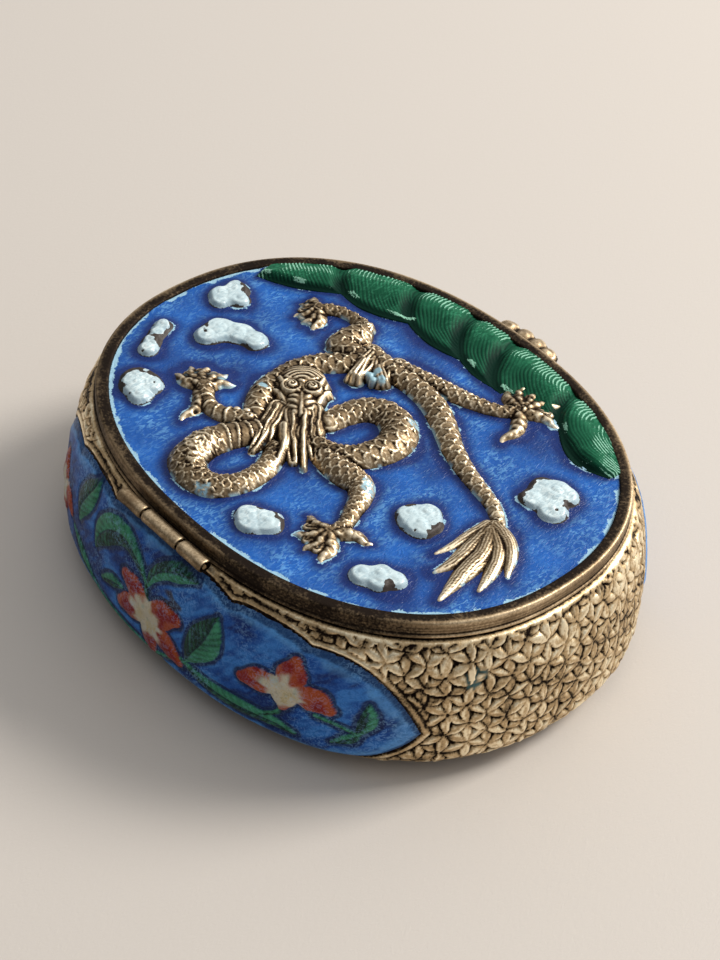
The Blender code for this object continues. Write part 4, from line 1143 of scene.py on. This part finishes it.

# %% [markdown]
# ## The blue ground
# The sky is one pool of cobalt enamel. It creeps up a little where it meets metal, is
# darker beside the relief, partly as thicker glass and partly as painted shade, and is
# broken away in small pale chips all round the rim. A flat plate with a bump would show
# a hard line against the metal, so its height comes from the gap to the nearest relief.
# It has less detail and takes every second point of the grid.

# %% Sky
EVERY = 2
sx, sy = GX[::EVERY, ::EVERY], GY[::EVERY, ::EVERY]
edge = rim_gap(sx, sy)
relief_top = np.maximum(dragon.top, cloud_tops)[::EVERY, ::EVERY]
gap = np.clip((SKY_TOP - relief_top) / FALL, 0, 9)
into_waves = (wave_edge(sx) - sy) * 0.9
wave_gap = np.clip(-into_waves, 0, 9)
gap = np.minimum(gap, wave_gap)
sky = SKY_TOP - 0.1 + 0.05 * waver(sx, sy, 5.0, 70) + 0.02 * waver(sx, sy, 0.9, 71)
sky = sky + 0.13 * np.exp(-gap / 0.3) + 0.06 * np.exp(-np.clip(edge, 0, 9) / 0.4)
uneven = 1 + 0.5 * waver(sx, sy, 3.0, 72)
# Darker for a few millimetres round the relief and the waves: partly thicker glass and partly
# painted shade. The broad patches are uneven glass.
pool = np.clip(
    1.35 * np.exp(-gap / (1.35 * uneven)) + 0.35 * ease(waver(sx, sy, 7.0, 73), 0.1, 0.8), 0, 1
)
ragged = 0.28 * waver(sx, sy, 0.7, 74) + 0.2 * waver(sx, sy, 2.2, 75)
chip = ease(edge - ragged, 0.9, 0.0) * ease(waver(sx, sy, 2.2, 78), -0.9, 0.1)
relief_chip = (
    ease(gap - 0.2 * waver(sx, sy, 0.6, 76), 0.3, 0.0) * ease(waver(sx, sy, 2.6, 77), 0.0, 0.5)
)
chip = np.maximum(chip, 0.75 * relief_chip)
sky = sky - 0.1 * chip * ease(edge, 1.0, 0.5)
keep = (edge > -0.25) & (relief_top < SKY_TOP + 0.9) & (into_waves < 1.2)
sky_piece = surface("sky", np.stack([sx, sy, sky], axis=2), keep, {"pool": pool, "chip": chip})
dress(
    sky_piece,
    "lid",
    "sky_enamel",
    sky_blue,
    "sky_enamel",
    "sky_enamel_in_upper_coil",
    "sky_enamel_in_lower_coil",
)

# %% [markdown]
# ## The lid's rim
# The lid is a plate with a raised frame. Its side wall was turned, so it has fine lines
# round it; the flat top of the frame is dark with age and its outer edge is worn to
# gold. A bevelled curve could make such a frame, but a profile that is carried round
# the lid's own oval keeps each line at its height and gives each line its own wear.


# %% Lid plate and frame
LID_HALF = (35.0, 28.1)


def oval_ring(offset, sides):
    """Points round the lid's outline, grown by an offset, in millimetres."""
    turn = math.tau * np.arange(sides) / sides
    c, s = np.cos(turn), np.sin(turn)
    x = (LID_HALF[0] + offset) * np.sign(c) * np.abs(c) ** (2 / OUTLINE_POWER)
    y = (LID_HALF[1] + offset) * np.sign(s) * np.abs(s) ** (2 / OUTLINE_POWER)
    return x, y


def turned(name, profile, sides=360, flat_ends=True):
    """A closed oval body through a profile of offset, height and rub."""
    rows = []
    marks = []
    for offset, height, rub in profile:
        x, y = oval_ring(offset, sides)
        rows.append(np.stack([x, y, np.full(sides, height)], axis=1))
        # The rub falls towards +Y, the hinge side.
        marks.append(rub * (0.8 + 0.3 * waver(x, y, 7.0, 15) - 0.45 * ease(y, 8.0, 24.0)))
    points = np.array(rows)
    piece = surface(
        name, points, np.ones(points.shape[:2], bool), {"rub": np.array(marks)}, closed=True
    )
    if flat_ends:
        mesh = piece.data
        shape = bmesh.new()
        shape.from_mesh(mesh)
        bmesh.ops.holes_fill(
            shape, edges=[edge for edge in shape.edges if edge.is_boundary], sides=0
        )
        for face in shape.faces:
            if len(face.verts) > 4:
                face.smooth = False
        bmesh.ops.recalc_face_normals(shape, faces=shape.faces)
        shape.to_mesh(mesh)
        shape.free()
    return piece


# %% Profile of the lid: out from the outline, height and rub
lid_profile = [
    (0.05, 19.9, 0.62),
    (0.2, 19.92, 0.65),
    (0.25, 20.0, 0.9),
    (0.25, 20.2, 0.95),
    (0.2, 20.28, 0.8),
    (0.03, 20.33, 0.0),
    (0.0, 20.42, 0.25),
    (0.03, 20.6, 0.7),
    (0.0, 20.8, 0.45),
    (0.03, 21.0, 0.75),
    (0.0, 21.2, 0.5),
    (0.02, 21.5, 0.75),
    (-0.02, 21.75, 0.9),
    (-0.1, 21.92, 1.0),
    (-0.28, 22.0, 0.75),
    (-0.5, 22.0, 0.25),
    (-0.8, 21.98, 0.08),
    (-1.2, 21.98, 0.03),
    (-1.42, 21.96, 0.06),
    (-1.55, 21.85, 0.02),
    (-1.62, 21.6, 0.0),
    (-1.64, 20.96, 0.0),
]
lid_frame = turned("lid_frame", lid_profile)
RIM = {"Bright": (0.80, 0.62, 0.40), "Middle": (0.27, 0.19, 0.11), "Dark": (0.022, 0.015, 0.011)}
frame_metal = new_finish("frame_metal", metal_group, RIM, {"Rub": "rub"}, 0.03, 1.0)
dress(lid_frame, "lid", "lid_brass", frame_metal, "lid")
dress(dragon_piece, "lid", "lid_brass", relief_bronze, "lid")

# %% [markdown]
# ## The bowl
# The bowl is thin brass. A smooth oval shell, made from a profile as the frame is,
# carries it inside and underneath. The solid itself could be shown, but its flat faces
# would catch the light as facets. The shell stays just under the worked skin of the
# outside, so it closes the view where the skin has its pits.

# %% Bowl shell
SEAM = 19.6
BULGE, BULGE_HEIGHT, FOOT_INSET = 3.5, 3.7, 5.0
PIT_DEPTH = 0.5
# The hollow: how far its mouth lies inside the lid's outline, then how far it stands out
# from there and rises, and how far it reaches and drops at the bottom
MOUTH, HOLLOW_BULGE, HOLLOW_RISE = -1.5, 3.8, 15.9
HOLLOW_REACH, HOLLOW_DROP = 7.3, 2.5


def swell_at(height):
    """How far the body stands out past the lid's outline at a height."""
    high = np.clip((height - BULGE_HEIGHT) / (SEAM - BULGE_HEIGHT), 0, 1)
    deep = np.clip((BULGE_HEIGHT - height) / BULGE_HEIGHT, 0, 1)
    over = BULGE * np.sqrt(1 - high**2)
    under = (BULGE + FOOT_INSET) * np.sqrt(1 - deep**2) - FOOT_INSET
    return np.where(height >= BULGE_HEIGHT, over, under)


# %% Profile of the bowl, up the outside and down the inside
shell = []
for degrees in (-90, -75, -60, -45, -30, -15, 0, 15, 30, 45, 60, 72, 80, 86):
    turn = math.radians(degrees)
    if degrees < 0:
        out = (BULGE + FOOT_INSET) * math.cos(turn) - FOOT_INSET
        height = BULGE_HEIGHT * (1 + math.sin(turn))
    else:
        out = BULGE * math.cos(turn)
        height = BULGE_HEIGHT + (SEAM - BULGE_HEIGHT) * math.sin(turn)
    shell.append((out - PIT_DEPTH - 0.05, max(height, 0.0), 0.3))
shell[0] = (-FOOT_INSET, 0.0, 0.5)
shell += [(-0.45, SEAM, 0.4), (-0.25, SEAM, 0.6), (MOUTH, SEAM, 0.5)]
for degrees in (78, 60, 40, 20, 0, -25, -50, -70, -90):
    turn = math.radians(degrees)
    if degrees > 0:
        out = MOUTH + HOLLOW_BULGE * math.cos(turn)
        height = BULGE_HEIGHT + HOLLOW_RISE * math.sin(turn)
    else:
        out = HOLLOW_REACH * math.cos(turn) - FOOT_INSET
        height = BULGE_HEIGHT + HOLLOW_DROP * math.sin(turn)
    shell.append((out, height, 0.62))
bowl_shell = turned("bowl_shell", shell, sides=240)
dress(bowl_shell, "box", "body_brass", chased_gold, "box_body")

# %% [markdown]
# ### The panels' outline
# Each long side has a panel with a scalloped upper edge and a pointed tip at each end.
# Its outline could be traced point by point. A few corners and two kinds of curve are
# enough, for one half, and the other half mirrors it. The skin uses the outline to
# leave room, and the enamel uses it to fill that room.

# %% Panel outline
PANEL_CUSPS = ((10.8, 17.6), (21.0, 16.9))
PANEL_TIP = (32.3, 7.6)
PANEL_TOP = 18.85
PANEL_FOOT = (22.0, 2.1)


def lobe(start, end, swell, steps=14):
    """Points from start up to end along an even outward curve."""
    (x0, y0), (x1, y1) = start, end
    length = math.hypot(x1 - x0, y1 - y0)
    points = []
    for step in range(steps):
        share = step / steps
        rise = swell * (1 - abs(2 * share - 1) ** 3)
        points.append(
            (
                x0 + (x1 - x0) * share - (y1 - y0) / length * rise,
                y0 + (y1 - y0) * share + (x1 - x0) / length * rise,
            )
        )
    return points


def bend(start, corner, end, steps=14):
    """Points from start up to end along a curve drawn to a corner."""
    points = []
    for step in range(steps):
        t = step / steps
        points.append(
            tuple(
                a * (1 - t) ** 2 + b * 2 * t * (1 - t) + c * t * t
                for a, b, c in zip(start, corner, end)
            )
        )
    return points


middle, outer = PANEL_CUSPS
half_panel = bend(PANEL_FOOT, (30.3, 2.1), PANEL_TIP) + bend(PANEL_TIP, (28.7, 17.9), outer)
half_panel += lobe(outer, middle, middle[1] - PANEL_TOP + 0.4)
top_lobe = lobe(middle, (-middle[0], middle[1]), middle[1] - PANEL_TOP)
other_half = [(-middle[0], middle[1])] + [(-x, z) for x, z in reversed(half_panel)]
panel_line = np.array(half_panel + top_lobe + other_half)
print("panel outline:", len(panel_line), "points")


def inside_panel(x, z):
    """How far a point of the side lies inside the panel's outline."""
    best = np.full(x.shape, 1e9)
    within = np.zeros(x.shape, bool)
    ends = np.roll(panel_line, -1, axis=0)
    for (x0, z0), (x1, z1) in zip(panel_line, ends):
        dx, dz = x1 - x0, z1 - z0
        t = np.clip(((x - x0) * dx + (z - z0) * dz) / (dx * dx + dz * dz), 0, 1)
        best = np.minimum(best, np.hypot(x - x0 - t * dx, z - z0 - t * dz))
        crosses = (z0 > z) != (z1 > z)
        if abs(dz) > 1e-9:
            within ^= crosses & (x < x0 + dx * (z - z0) / dz)
    return np.where(within, best, -best)


# %% [markdown]
# ### The chased ends
# The ends of the bowl are chased with petals that meet six at a point, as in old ground
# patterns, with deep three-sided pits between them. They are plain along the rim and in
# a narrow band round each panel. A bump could draw petals, but the pits are half a
# millimetre deep and show at the edge of the box, so they are cut into the sheet. Each
# petal is tilted and lifted a little in its own way, as work done by hand is.

# %% Petals
NODE_PITCH = 2.85
PETAL_WIDTH = 1.16


def petals(u, v):
    """Height of a ground of petals along three directions, from 0 in a pit to 1."""
    u = u + 0.4 * waver(u, v, 3.1, 80) + 0.12 * waver(u, v, 1.1, 81)
    v = v + 0.4 * waver(u, v, 2.7, 82) + 0.12 * waver(u, v, 1.2, 83)
    best = np.full(u.shape, -1.0)
    worth = np.zeros(u.shape)
    row_pitch = NODE_PITCH * math.sqrt(3) / 2
    for index in range(3):
        angle = math.radians(60 * index + 30)
        along = u * math.cos(angle) + v * math.sin(angle)
        side = v * math.cos(angle) - u * math.sin(angle)
        row = np.round(side / row_pitch)
        side = side - row * row_pitch
        shift = np.mod(row, 2) * NODE_PITCH / 2
        number = np.round((along - shift) / NODE_PITCH - 0.5)
        along = along - shift - (number + 0.5) * NODE_PITCH
        half = PETAL_WIDTH / 2 * (1 - (2 * along / NODE_PITCH) ** 2)
        inside = half - np.abs(side)
        lift = 0.5 + 0.5 * np.sin(number * 12.9 + row * 7.7 + index * 3.1)
        tilt = side / PETAL_WIDTH * np.cos(number * 5.3 + row * 2.9 + index)
        new = inside > best
        worth = np.where(new, 0.66 + 0.34 * lift + 0.5 * tilt, worth)
        best = np.maximum(best, inside)
    return ease(best, -0.08, 0.1) * worth + 0.1 * ease(best, 0.0, 0.4)


# %% Steps round the bowl and up its side
SKIN_CELL = 0.19
dense = 4096
ring_x, ring_y = oval_ring(2.0, dense)
lengths = np.hypot(np.diff(ring_x, append=ring_x[:1]), np.diff(ring_y, append=ring_y[:1]))
run_at = np.concatenate([[0], np.cumsum(lengths)])
around = run_at[-1]
heights = []
height, travelled = 0.35, 0.0
while height < 18.9:
    heights.append((height, travelled))
    slope = float(swell_at(np.array(height + 0.02)) - swell_at(np.array(height))) / 0.02
    height += SKIN_CELL / math.hypot(1, slope)
    travelled += SKIN_CELL
heights += [
    (19.05, travelled + 0.3),
    (19.25, travelled + 0.55),
    (19.42, travelled + 0.8),
    (19.56, travelled + 1.1),
    (19.6, travelled + 1.5),
]
rows_z = np.array([row[0] for row in heights])
rows_m = np.array([row[1] for row in heights])

# %% Chased skin of both ends
for name, low, high in (("chased_left", 0.25, 0.75), ("chased_right", 0.75, 1.25)):
    columns = int(around / 2 / SKIN_CELL)
    runs = np.linspace(low, high, columns) * around
    turns = np.interp(np.mod(runs, around), run_at, np.arange(dense + 1)) / dense * math.tau
    turns, tall = np.meshgrid(turns, rows_z)
    run, meridian = np.meshgrid(runs, rows_m)
    c, s = np.cos(turns), np.sin(turns)
    swell = swell_at(tall)
    along = np.sign(c) * np.abs(c) ** (2 / OUTLINE_POWER)
    aside = np.sign(s) * np.abs(s) ** (2 / OUTLINE_POWER)
    inside = inside_panel((LID_HALF[0] + swell) * along, tall)
    work = ease(inside, -0.8, -1.05) * ease(tall, 19.35, 19.0) * ease(tall, 0.5, 1.2)
    chased = petals(run, meridian)
    relief = (chased - 1) * PIT_DEPTH * work
    groove = (
        0.22 * np.exp(-(((inside + 0.2) / 0.16) ** 2))
        + 0.12 * np.exp(-(((inside + 0.95) / 0.12) ** 2))
    )
    relief = relief - groove - 0.03 * np.abs(waver(run, meridian, 0.6, 84))
    relief = relief - 0.35 * ease(tall, 19.5, 19.6)
    rub = rub_of(relief, SKIN_CELL) - 0.35 * ease(chased, 0.45, 0.1) * work
    # Painted shade: the term with the panel's outline darkens each end near its panels, up to 13
    # to 17.5 mm high. The two noises are wear.
    worn = (
        0.11
        + 0.2 * waver(run, meridian, 6.0, 85)
        + 0.15 * waver(run, meridian, 1.9, 88)
        - 0.4 * ease(-inside, 11.0, 0.5) * ease(tall, 17.5, 13.0)
    )
    # Darker in a band just below the seam, within about 12 to 24 mm of the panels.
    seam_band_dark = (
        ease(tall + 0.9 * waver(run, meridian, 1.1, 87), 17.6, 19.4) * ease(-inside, 24.0, 12.0)
    )
    # The ends also grow darker towards the foot, below 3 mm.
    rub = np.clip(
        rub
        + worn
        - 0.55 * ease(np.abs(inside + 0.1), 0.5, 0.1)
        - 0.42 * seam_band_dark
        - 0.25 * ease(tall, 3.0, 0.5),
        0,
        1,
    )
    drop = np.where(inside > -0.05, -0.5 * ease(inside, -0.05, 0.3), 0)
    out = swell + relief + drop
    points = np.stack([(LID_HALF[0] + out) * along, (LID_HALF[1] + out) * aside, tall], axis=2)
    green = ease(
        np.hypot(run - 0.5 * around + 13.4, meridian - 17.6) + 0.9 * waver(run, meridian, 0.9, 86),
        1.4,
        0.7,
    )
    piece = surface(
        name, points, inside < 0.35, {"rub": rub, "verdigris": green * ease(rub, 0.75, 0.3)}
    )
    dress(piece, "box", "body_brass", chased_gold, "box_body")

# %% [markdown]
# ## Enamel panels
# Each long side has a blue pillow of enamel with painted flowers. They stand a little
# proud, are outlined in dark blue and shaded by hand. An image could hold such a
# painting. Here each petal, leaf and stem is a run of its own that gives a height and a
# colour, so the paint lies exactly on its relief, and the mesh keeps the colour at its
# points.

# %% Flowers, leaves and stems, in millimetres of the panel
NAVY = np.array((0.006, 0.02, 0.09))
LEAVES = [
    [(-6.4, 6.3, 0.3), (-7.4, 8.4, 1.6), (-8.8, 11.0, 2.3), (-9.6, 13.4, 1.5), (-10.0, 15.3, 0.2)],
    [(1.2, 12.4, 0.25), (0.6, 14.2, 0.8), (-1.0, 16.0, 1.1), (-3.4, 17.2, 1.2), (-6.0, 17.6, 0.2)],
    [
        (1.8, 12.6, 0.25),
        (3.6, 14.4, 0.8),
        (6.4, 15.6, 1.4),
        (9.4, 14.6, 1.9),
        (11.4, 12.4, 1.6),
        (12.4, 9.8, 0.3),
    ],
    [(17.6, 9.6, 0.3), (17.2, 12.0, 1.5), (15.8, 14.6, 1.7), (14.6, 16.6, 1.1), (14.2, 18.0, 0.2)],
    [(-27.6, 6.9, 0.25), (-28.3, 8.6, 0.8), (-28.4, 10.2, 0.7), (-28.2, 11.7, 0.15)],
    [(-27.9, 7.0, 0.2), (-27.0, 6.0, 0.7), (-25.4, 4.9, 0.2)],
    [(-21.4, 4.4, 0.3), (-18.6, 5.0, 0.8), (-14.0, 4.8, 1.0), (-9.5, 5.0, 0.8), (-5.6, 5.8, 0.3)],
    [(6.0, 8.4, 0.3), (8.0, 7.8, 0.9), (10.4, 6.4, 0.3)],
    [(13.0, 4.0, 0.3), (16.0, 5.2, 1.0), (19.5, 6.6, 0.3)],
]
STEMS = [
    [(-19.8, 8.0, 0.28), (-19.2, 6.6, 0.3), (-17.4, 5.4, 0.28)],
    [(-27.8, 6.9, 0.2), (-25.6, 7.8, 0.25), (-23.4, 8.3, 0.25)],
    [(1.6, 12.8, 0.3), (1.2, 11.0, 0.35), (0.8, 9.0, 0.3)],
    [(-5.6, 5.8, 0.28), (-1.0, 3.4, 0.3), (6.0, 3.2, 0.3), (13.0, 4.0, 0.28)],
]

# %% Flowers: the heart of each, then its petals
FLOWERS = [
    ((-19.8, 10.2, 2.3), [
        [(-20.0, 11.6, 1.5), (-20.2, 13.3, 1.7), (-20.3, 15.0, 0.6)],
        [(-21.6, 10.7, 1.4), (-23.2, 10.4, 1.8), (-24.6, 9.6, 0.8)],
        [(-18.2, 10.5, 1.4), (-16.4, 10.2, 1.7), (-14.6, 9.5, 0.8)],
        [(-19.8, 9.4, 1.6), (-19.8, 8.6, 1.2), (-19.8, 8.0, 0.6)],
    ]),
    ((0.7, 7.8, 2.7), [
        [(-0.6, 9.0, 1.8), (-2.3, 10.3, 1.9), (-4.0, 10.9, 1.0)],
        [(1.8, 9.0, 1.7), (3.5, 10.3, 1.8), (5.2, 10.9, 1.0)],
        [(2.6, 7.4, 1.6), (4.4, 6.9, 1.7), (5.9, 6.2, 0.9)],
        [(-1.0, 7.0, 1.7), (-3.0, 6.2, 1.6), (-5.2, 5.0, 0.7)],
        [(0.4, 6.2, 1.5), (0.0, 4.8, 1.4), (-0.4, 3.8, 0.8)],
    ]),
    ((25.2, 8.4, 2.1), [
        [(25.3, 9.8, 1.4), (25.4, 11.3, 1.5), (25.2, 12.8, 0.6)],
        [(23.8, 8.4, 1.3), (22.4, 8.3, 1.5), (21.0, 7.6, 0.7)],
        [(26.6, 8.0, 1.3), (27.9, 7.4, 1.4), (29.2, 6.6, 0.7)],
        [(25.0, 7.4, 1.3), (24.8, 6.2, 1.3), (24.6, 5.2, 0.7)],
    ]),
]


# %% Painting
def put(colours, share, colour):
    """Lays a colour over the paint by a share at each point."""
    share = share[..., None]
    return colours * (1 - share) + np.array(colour) * share


def painted_panel(x, z):
    """The paint and the relief of a panel at points of its side."""
    inside = inside_panel(x, z)
    brushed = (
        waver(x * 0.6 + z, z, 1.0, 90) * 0.5
        + waver(x, z, 3.2, 91)
        + 0.45 * waver(x + 0.8 * z, z * 0.4, 0.45, 89)
    )
    colours = np.zeros((*x.shape, 3)) + np.array((0.008, 0.085, 0.38))
    colours = put(colours, ease(brushed, 0.0, 0.8) * 0.8, (0.045, 0.23, 0.66))
    colours = put(colours, ease(brushed, -0.05, -0.8) * 0.9, (0.002, 0.022, 0.15))
    colours = put(
        colours, ease(inside + 0.6 * waver(x, z, 1.2, 92), 1.7, 0.5) * 0.55, (0.14, 0.40, 0.78)
    )
    relief = 0.05 * waver(x, z, 2.4, 93) - 0.03 * np.abs(waver(x, z, 0.5, 94))
    shades = []
    for stations in LEAVES + STEMS:
        shades.append((stations, "leaf"))
    for centre, petals_of in FLOWERS:
        shades += [(stations, centre) for stations in petals_of]
    dark = np.zeros(x.shape)
    for stations, _ in shades:
        along, side, radius, length = along_run(x, z, smooth_run(stations, 6))
        dark = np.maximum(
            dark, ease(np.abs(side) - radius + 0.12 * waver(x, z, 1.2, 104), 0.7, 0.4)
        )
    colours = put(colours, dark * 0.93, NAVY)
    relief = relief - 0.08 * dark
    for stations, kind in shades:
        along, side, radius, length = along_run(x, z, smooth_run(stations, 6))
        share = np.abs(side) / radius
        body = ease(np.abs(side) - radius, 0.06, -0.06)
        height = 0.26 * (1 - np.minimum(share, 1) ** 2.2) * np.minimum(radius, 1.2)
        if kind == "leaf":
            vein = np.cos(math.tau * (along - 1.1 * np.abs(side)) / 1.1)
            tone = np.where(side > 0, 0.72, 0.08) + 0.22 * vein + 0.3 * waver(x, z, 0.9, 95)
            leaf = np.zeros((*x.shape, 3)) + np.array((0.003, 0.026, 0.016))
            leaf = put(leaf, np.clip(tone, 0, 1) * 0.9, (0.06, 0.32, 0.17))
            leaf = put(
                leaf, ease(np.abs(side), 0.16, 0.05) * (radius > 0.5) * 0.9, (0.004, 0.02, 0.03)
            )
            height = height - 0.1 * ease(np.abs(side), 0.2, 0.0) * (radius > 0.5)
        else:
            far = np.hypot(x - kind[0], z - kind[1])
            streak = waver(np.arctan2(z - kind[1], x - kind[0]) * 4.0, far * 0.5, 0.9, 102)
            red = ease(
                far + 0.9 * streak + 0.35 * waver(x, z, 0.7, 96), kind[2] - 0.6, kind[2] + 0.7
            )
            leaf = np.zeros((*x.shape, 3)) + np.array((0.62, 0.56, 0.42))
            leaf = put(leaf, ease(waver(x, z, 1.0, 97), 0.1, 0.8) * 0.5, (0.55, 0.42, 0.14))
            leaf = put(leaf, ease(waver(x, z, 0.8, 98), 0.4, 0.9) * 0.5, (0.3, 0.42, 0.36))
            leaf = put(leaf, red, (0.40, 0.075, 0.022))
            leaf = put(
                leaf, red * ease(waver(x, z, 1.1, 99) - share, -0.9, 0.0), (0.26, 0.014, 0.01)
            )
            height = height + 0.03 * np.abs(waver(x, z, 0.5, 100))
        colours = put(colours, body, (0, 0, 0)) + leaf * body[..., None]
        relief = np.maximum(relief, np.where(share < 1.05, height, relief))
    burnt = ease(np.hypot(x + 3.1, (z - 13.0) * 1.4) + 0.9 * waver(x, z, 0.8, 101), 1.5, 0.7)
    colours = put(colours, burnt * 0.9, (0.035, 0.02, 0.02))
    relief = relief - 0.1 * burnt
    border = ease(inside + 0.12 * waver(x, z, 0.8, 103) - 0.35 * ease(z, 12.0, 16.0), 0.3, 0.1)
    colours = put(colours, border * 0.8, NAVY)
    return inside, colours, relief


# %% [markdown]
# ### The panels' finish
# The paint takes the place of the enamel's plain colour, and the dark and pale colours
# of the group are made from it, so that the glass ripples in the tint of what lies
# under it. The front can't be seen, so it has the same painting, turned half round.

# %% Panel pieces
panel_enamel = new_finish(
    "panel_enamel", enamel_group, BLUES, {"Pool": 0.0, "Chip": 0.0}, 0.04, 0.0, 0.15, 0.12
)
tree = panel_enamel.node_tree
glass = next(node for node in tree.nodes if node.type == "GROUP")
paint = add(tree, "ShaderNodeAttribute", attribute_name="paint").outputs["Color"]
tree.links.new(paint, glass.inputs["Base"])
tree.links.new(blend_colour(tree, 1.0, paint, (0.3, 0.35, 0.45), "MULTIPLY"), glass.inputs["Deep"])
tree.links.new(blend_colour(tree, 0.32, paint, (0.3, 0.58, 0.95)), glass.inputs["Pale"])
PANEL_CELL = 0.16
wide, high = np.meshgrid(np.arange(-33.0, 33.0, PANEL_CELL), np.arange(1.6, 19.2, PANEL_CELL))
inside, colours, relief = painted_panel(wide, high)
for name, hand in (("back_panel", 1), ("front_panel", -1)):
    out = swell_at(high) + 0.3 * ease(inside, 0.0, 0.9) + relief - 0.6 * ease(inside, 0.05, -0.3)
    room = np.clip(1 - (np.abs(wide) / (LID_HALF[0] + out)) ** OUTLINE_POWER, 0, 1)
    deep = (LID_HALF[1] + out) * room ** (1 / OUTLINE_POWER)
    points = np.stack([wide * hand, deep * hand, high], axis=2)
    piece = surface(name, points[:, ::-1], (inside > -0.3)[:, ::-1], {"paint": colours[:, ::-1]})
    dress(piece, "box", "panel_enamel", panel_enamel, name + "_enamel")

# %% [markdown]
# ## Hinge
# Three rolled knuckles sit in the seam at the back and a wire runs through them. They
# could be plain cylinders, but a knuckle is bent from the edge of a sheet, so its
# section is drawn out towards the box. The wire is plain, so the CAD solid itself is
# shown and only gets a finish.


# %% Knuckles
HINGE_Y, HINGE_Z = 29.45, 20.4
KNUCKLE_SIDES = 40


def knuckle(name, start, end, body, node):
    """A rolled tube along X whose section is drawn out towards the box."""
    profile = [(0, 0.7), (0.06, 0.8), (0.16, 0.86), (0.5, 0.88)]
    stations = [(start + step, radius) for step, radius in profile]
    stations += [((start + end) / 2, 0.85)]
    stations += [(end - step, radius) for step, radius in reversed(profile)]
    turns = math.tau * np.arange(KNUCKLE_SIDES) / KNUCKLE_SIDES
    rows = []
    for x, radius in stations:
        y = np.where(np.cos(turns) < 0, 1.3, 0.92) * radius * np.cos(turns)
        z = 0.92 * radius * np.sin(turns)
        rows.append(np.stack([np.full(KNUCKLE_SIDES, x), HINGE_Y + y, HINGE_Z + z], axis=1))
    points = np.array(rows)
    # Lighter along the top, darker underneath and darkest at the two ends.
    rub = 0.4 + 0.3 * np.sin(turns)[None, :] + 0.2 * waver(points[..., 0], points[..., 2], 1.1, 16)
    rub[0], rub[-1] = 0.1, 0.1
    piece = surface(
        name, points, np.ones(points.shape[:2], bool), {"rub": np.clip(rub, 0, 1)}, closed=True
    )
    dress(piece, body, "hinge_brass", frame_metal, node)


knuckle("knuckle_left", -6.7, -2.4, "box", "body_knuckle_left")
knuckle("knuckle_lid", -2.1, 4.1, "lid", "lid_knuckle")
knuckle("knuckle_right", 4.4, 8.7, "box", "body_knuckle_right")
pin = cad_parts["hinge_pin"]
pin.data.materials.clear()
pin.data.materials.append(new_finish("pin_wire", metal_group, GOLD, {"Rub": 0.4}, 0.02, 1.0))

# %% [markdown]
# ## Thumb piece
# The thumb piece is a small cast tab with four rounded lobes. Four balls could be
# joined, but a sheet with one height for each point gives the soft valleys between the
# lobes, and a flat sheet closes it from below.

# %% Thumb piece
TAB_CELL = 0.11
TAB_FOOT = 20.3
LOBES = [(-3.5, -28.8, 1.6), (-1.4, -29.2, 1.6), (0.9, -29.3, 1.6), (3.3, -28.9, 1.7)]
tx, ty = np.meshgrid(np.arange(-5.6, 5.6, TAB_CELL), np.arange(-31.1, -27.9, TAB_CELL))
edge = np.full(tx.shape, -9.0)
for x, y, radius in LOBES:
    edge = np.maximum(edge, radius - np.hypot(tx - x, ty - y))
tab = (
    TAB_FOOT
    + 0.7 * ease(edge, -0.05, 0.35)
    + 0.4 * ease(edge, 0.2, 1.4)
    + 0.08 * waver(tx, ty, 0.8, 17)
)
tab = np.where(edge < -0.02, TAB_FOOT, tab)
top = np.stack([tx, ty, tab], axis=2)
under = np.stack([tx, ty, np.full(tx.shape, TAB_FOOT)], axis=2)
thumb_rub = rub_of(tab, TAB_CELL)
keep = edge > -0.12
thumb = surface(
    "thumb_tab",
    np.concatenate([top, under[::-1]]),
    np.concatenate([keep, keep[::-1]]),
    {"rub": np.concatenate([thumb_rub, thumb_rub[::-1]])},
)
dress(thumb, "lid", "lid_brass", frame_metal, "thumb_piece")
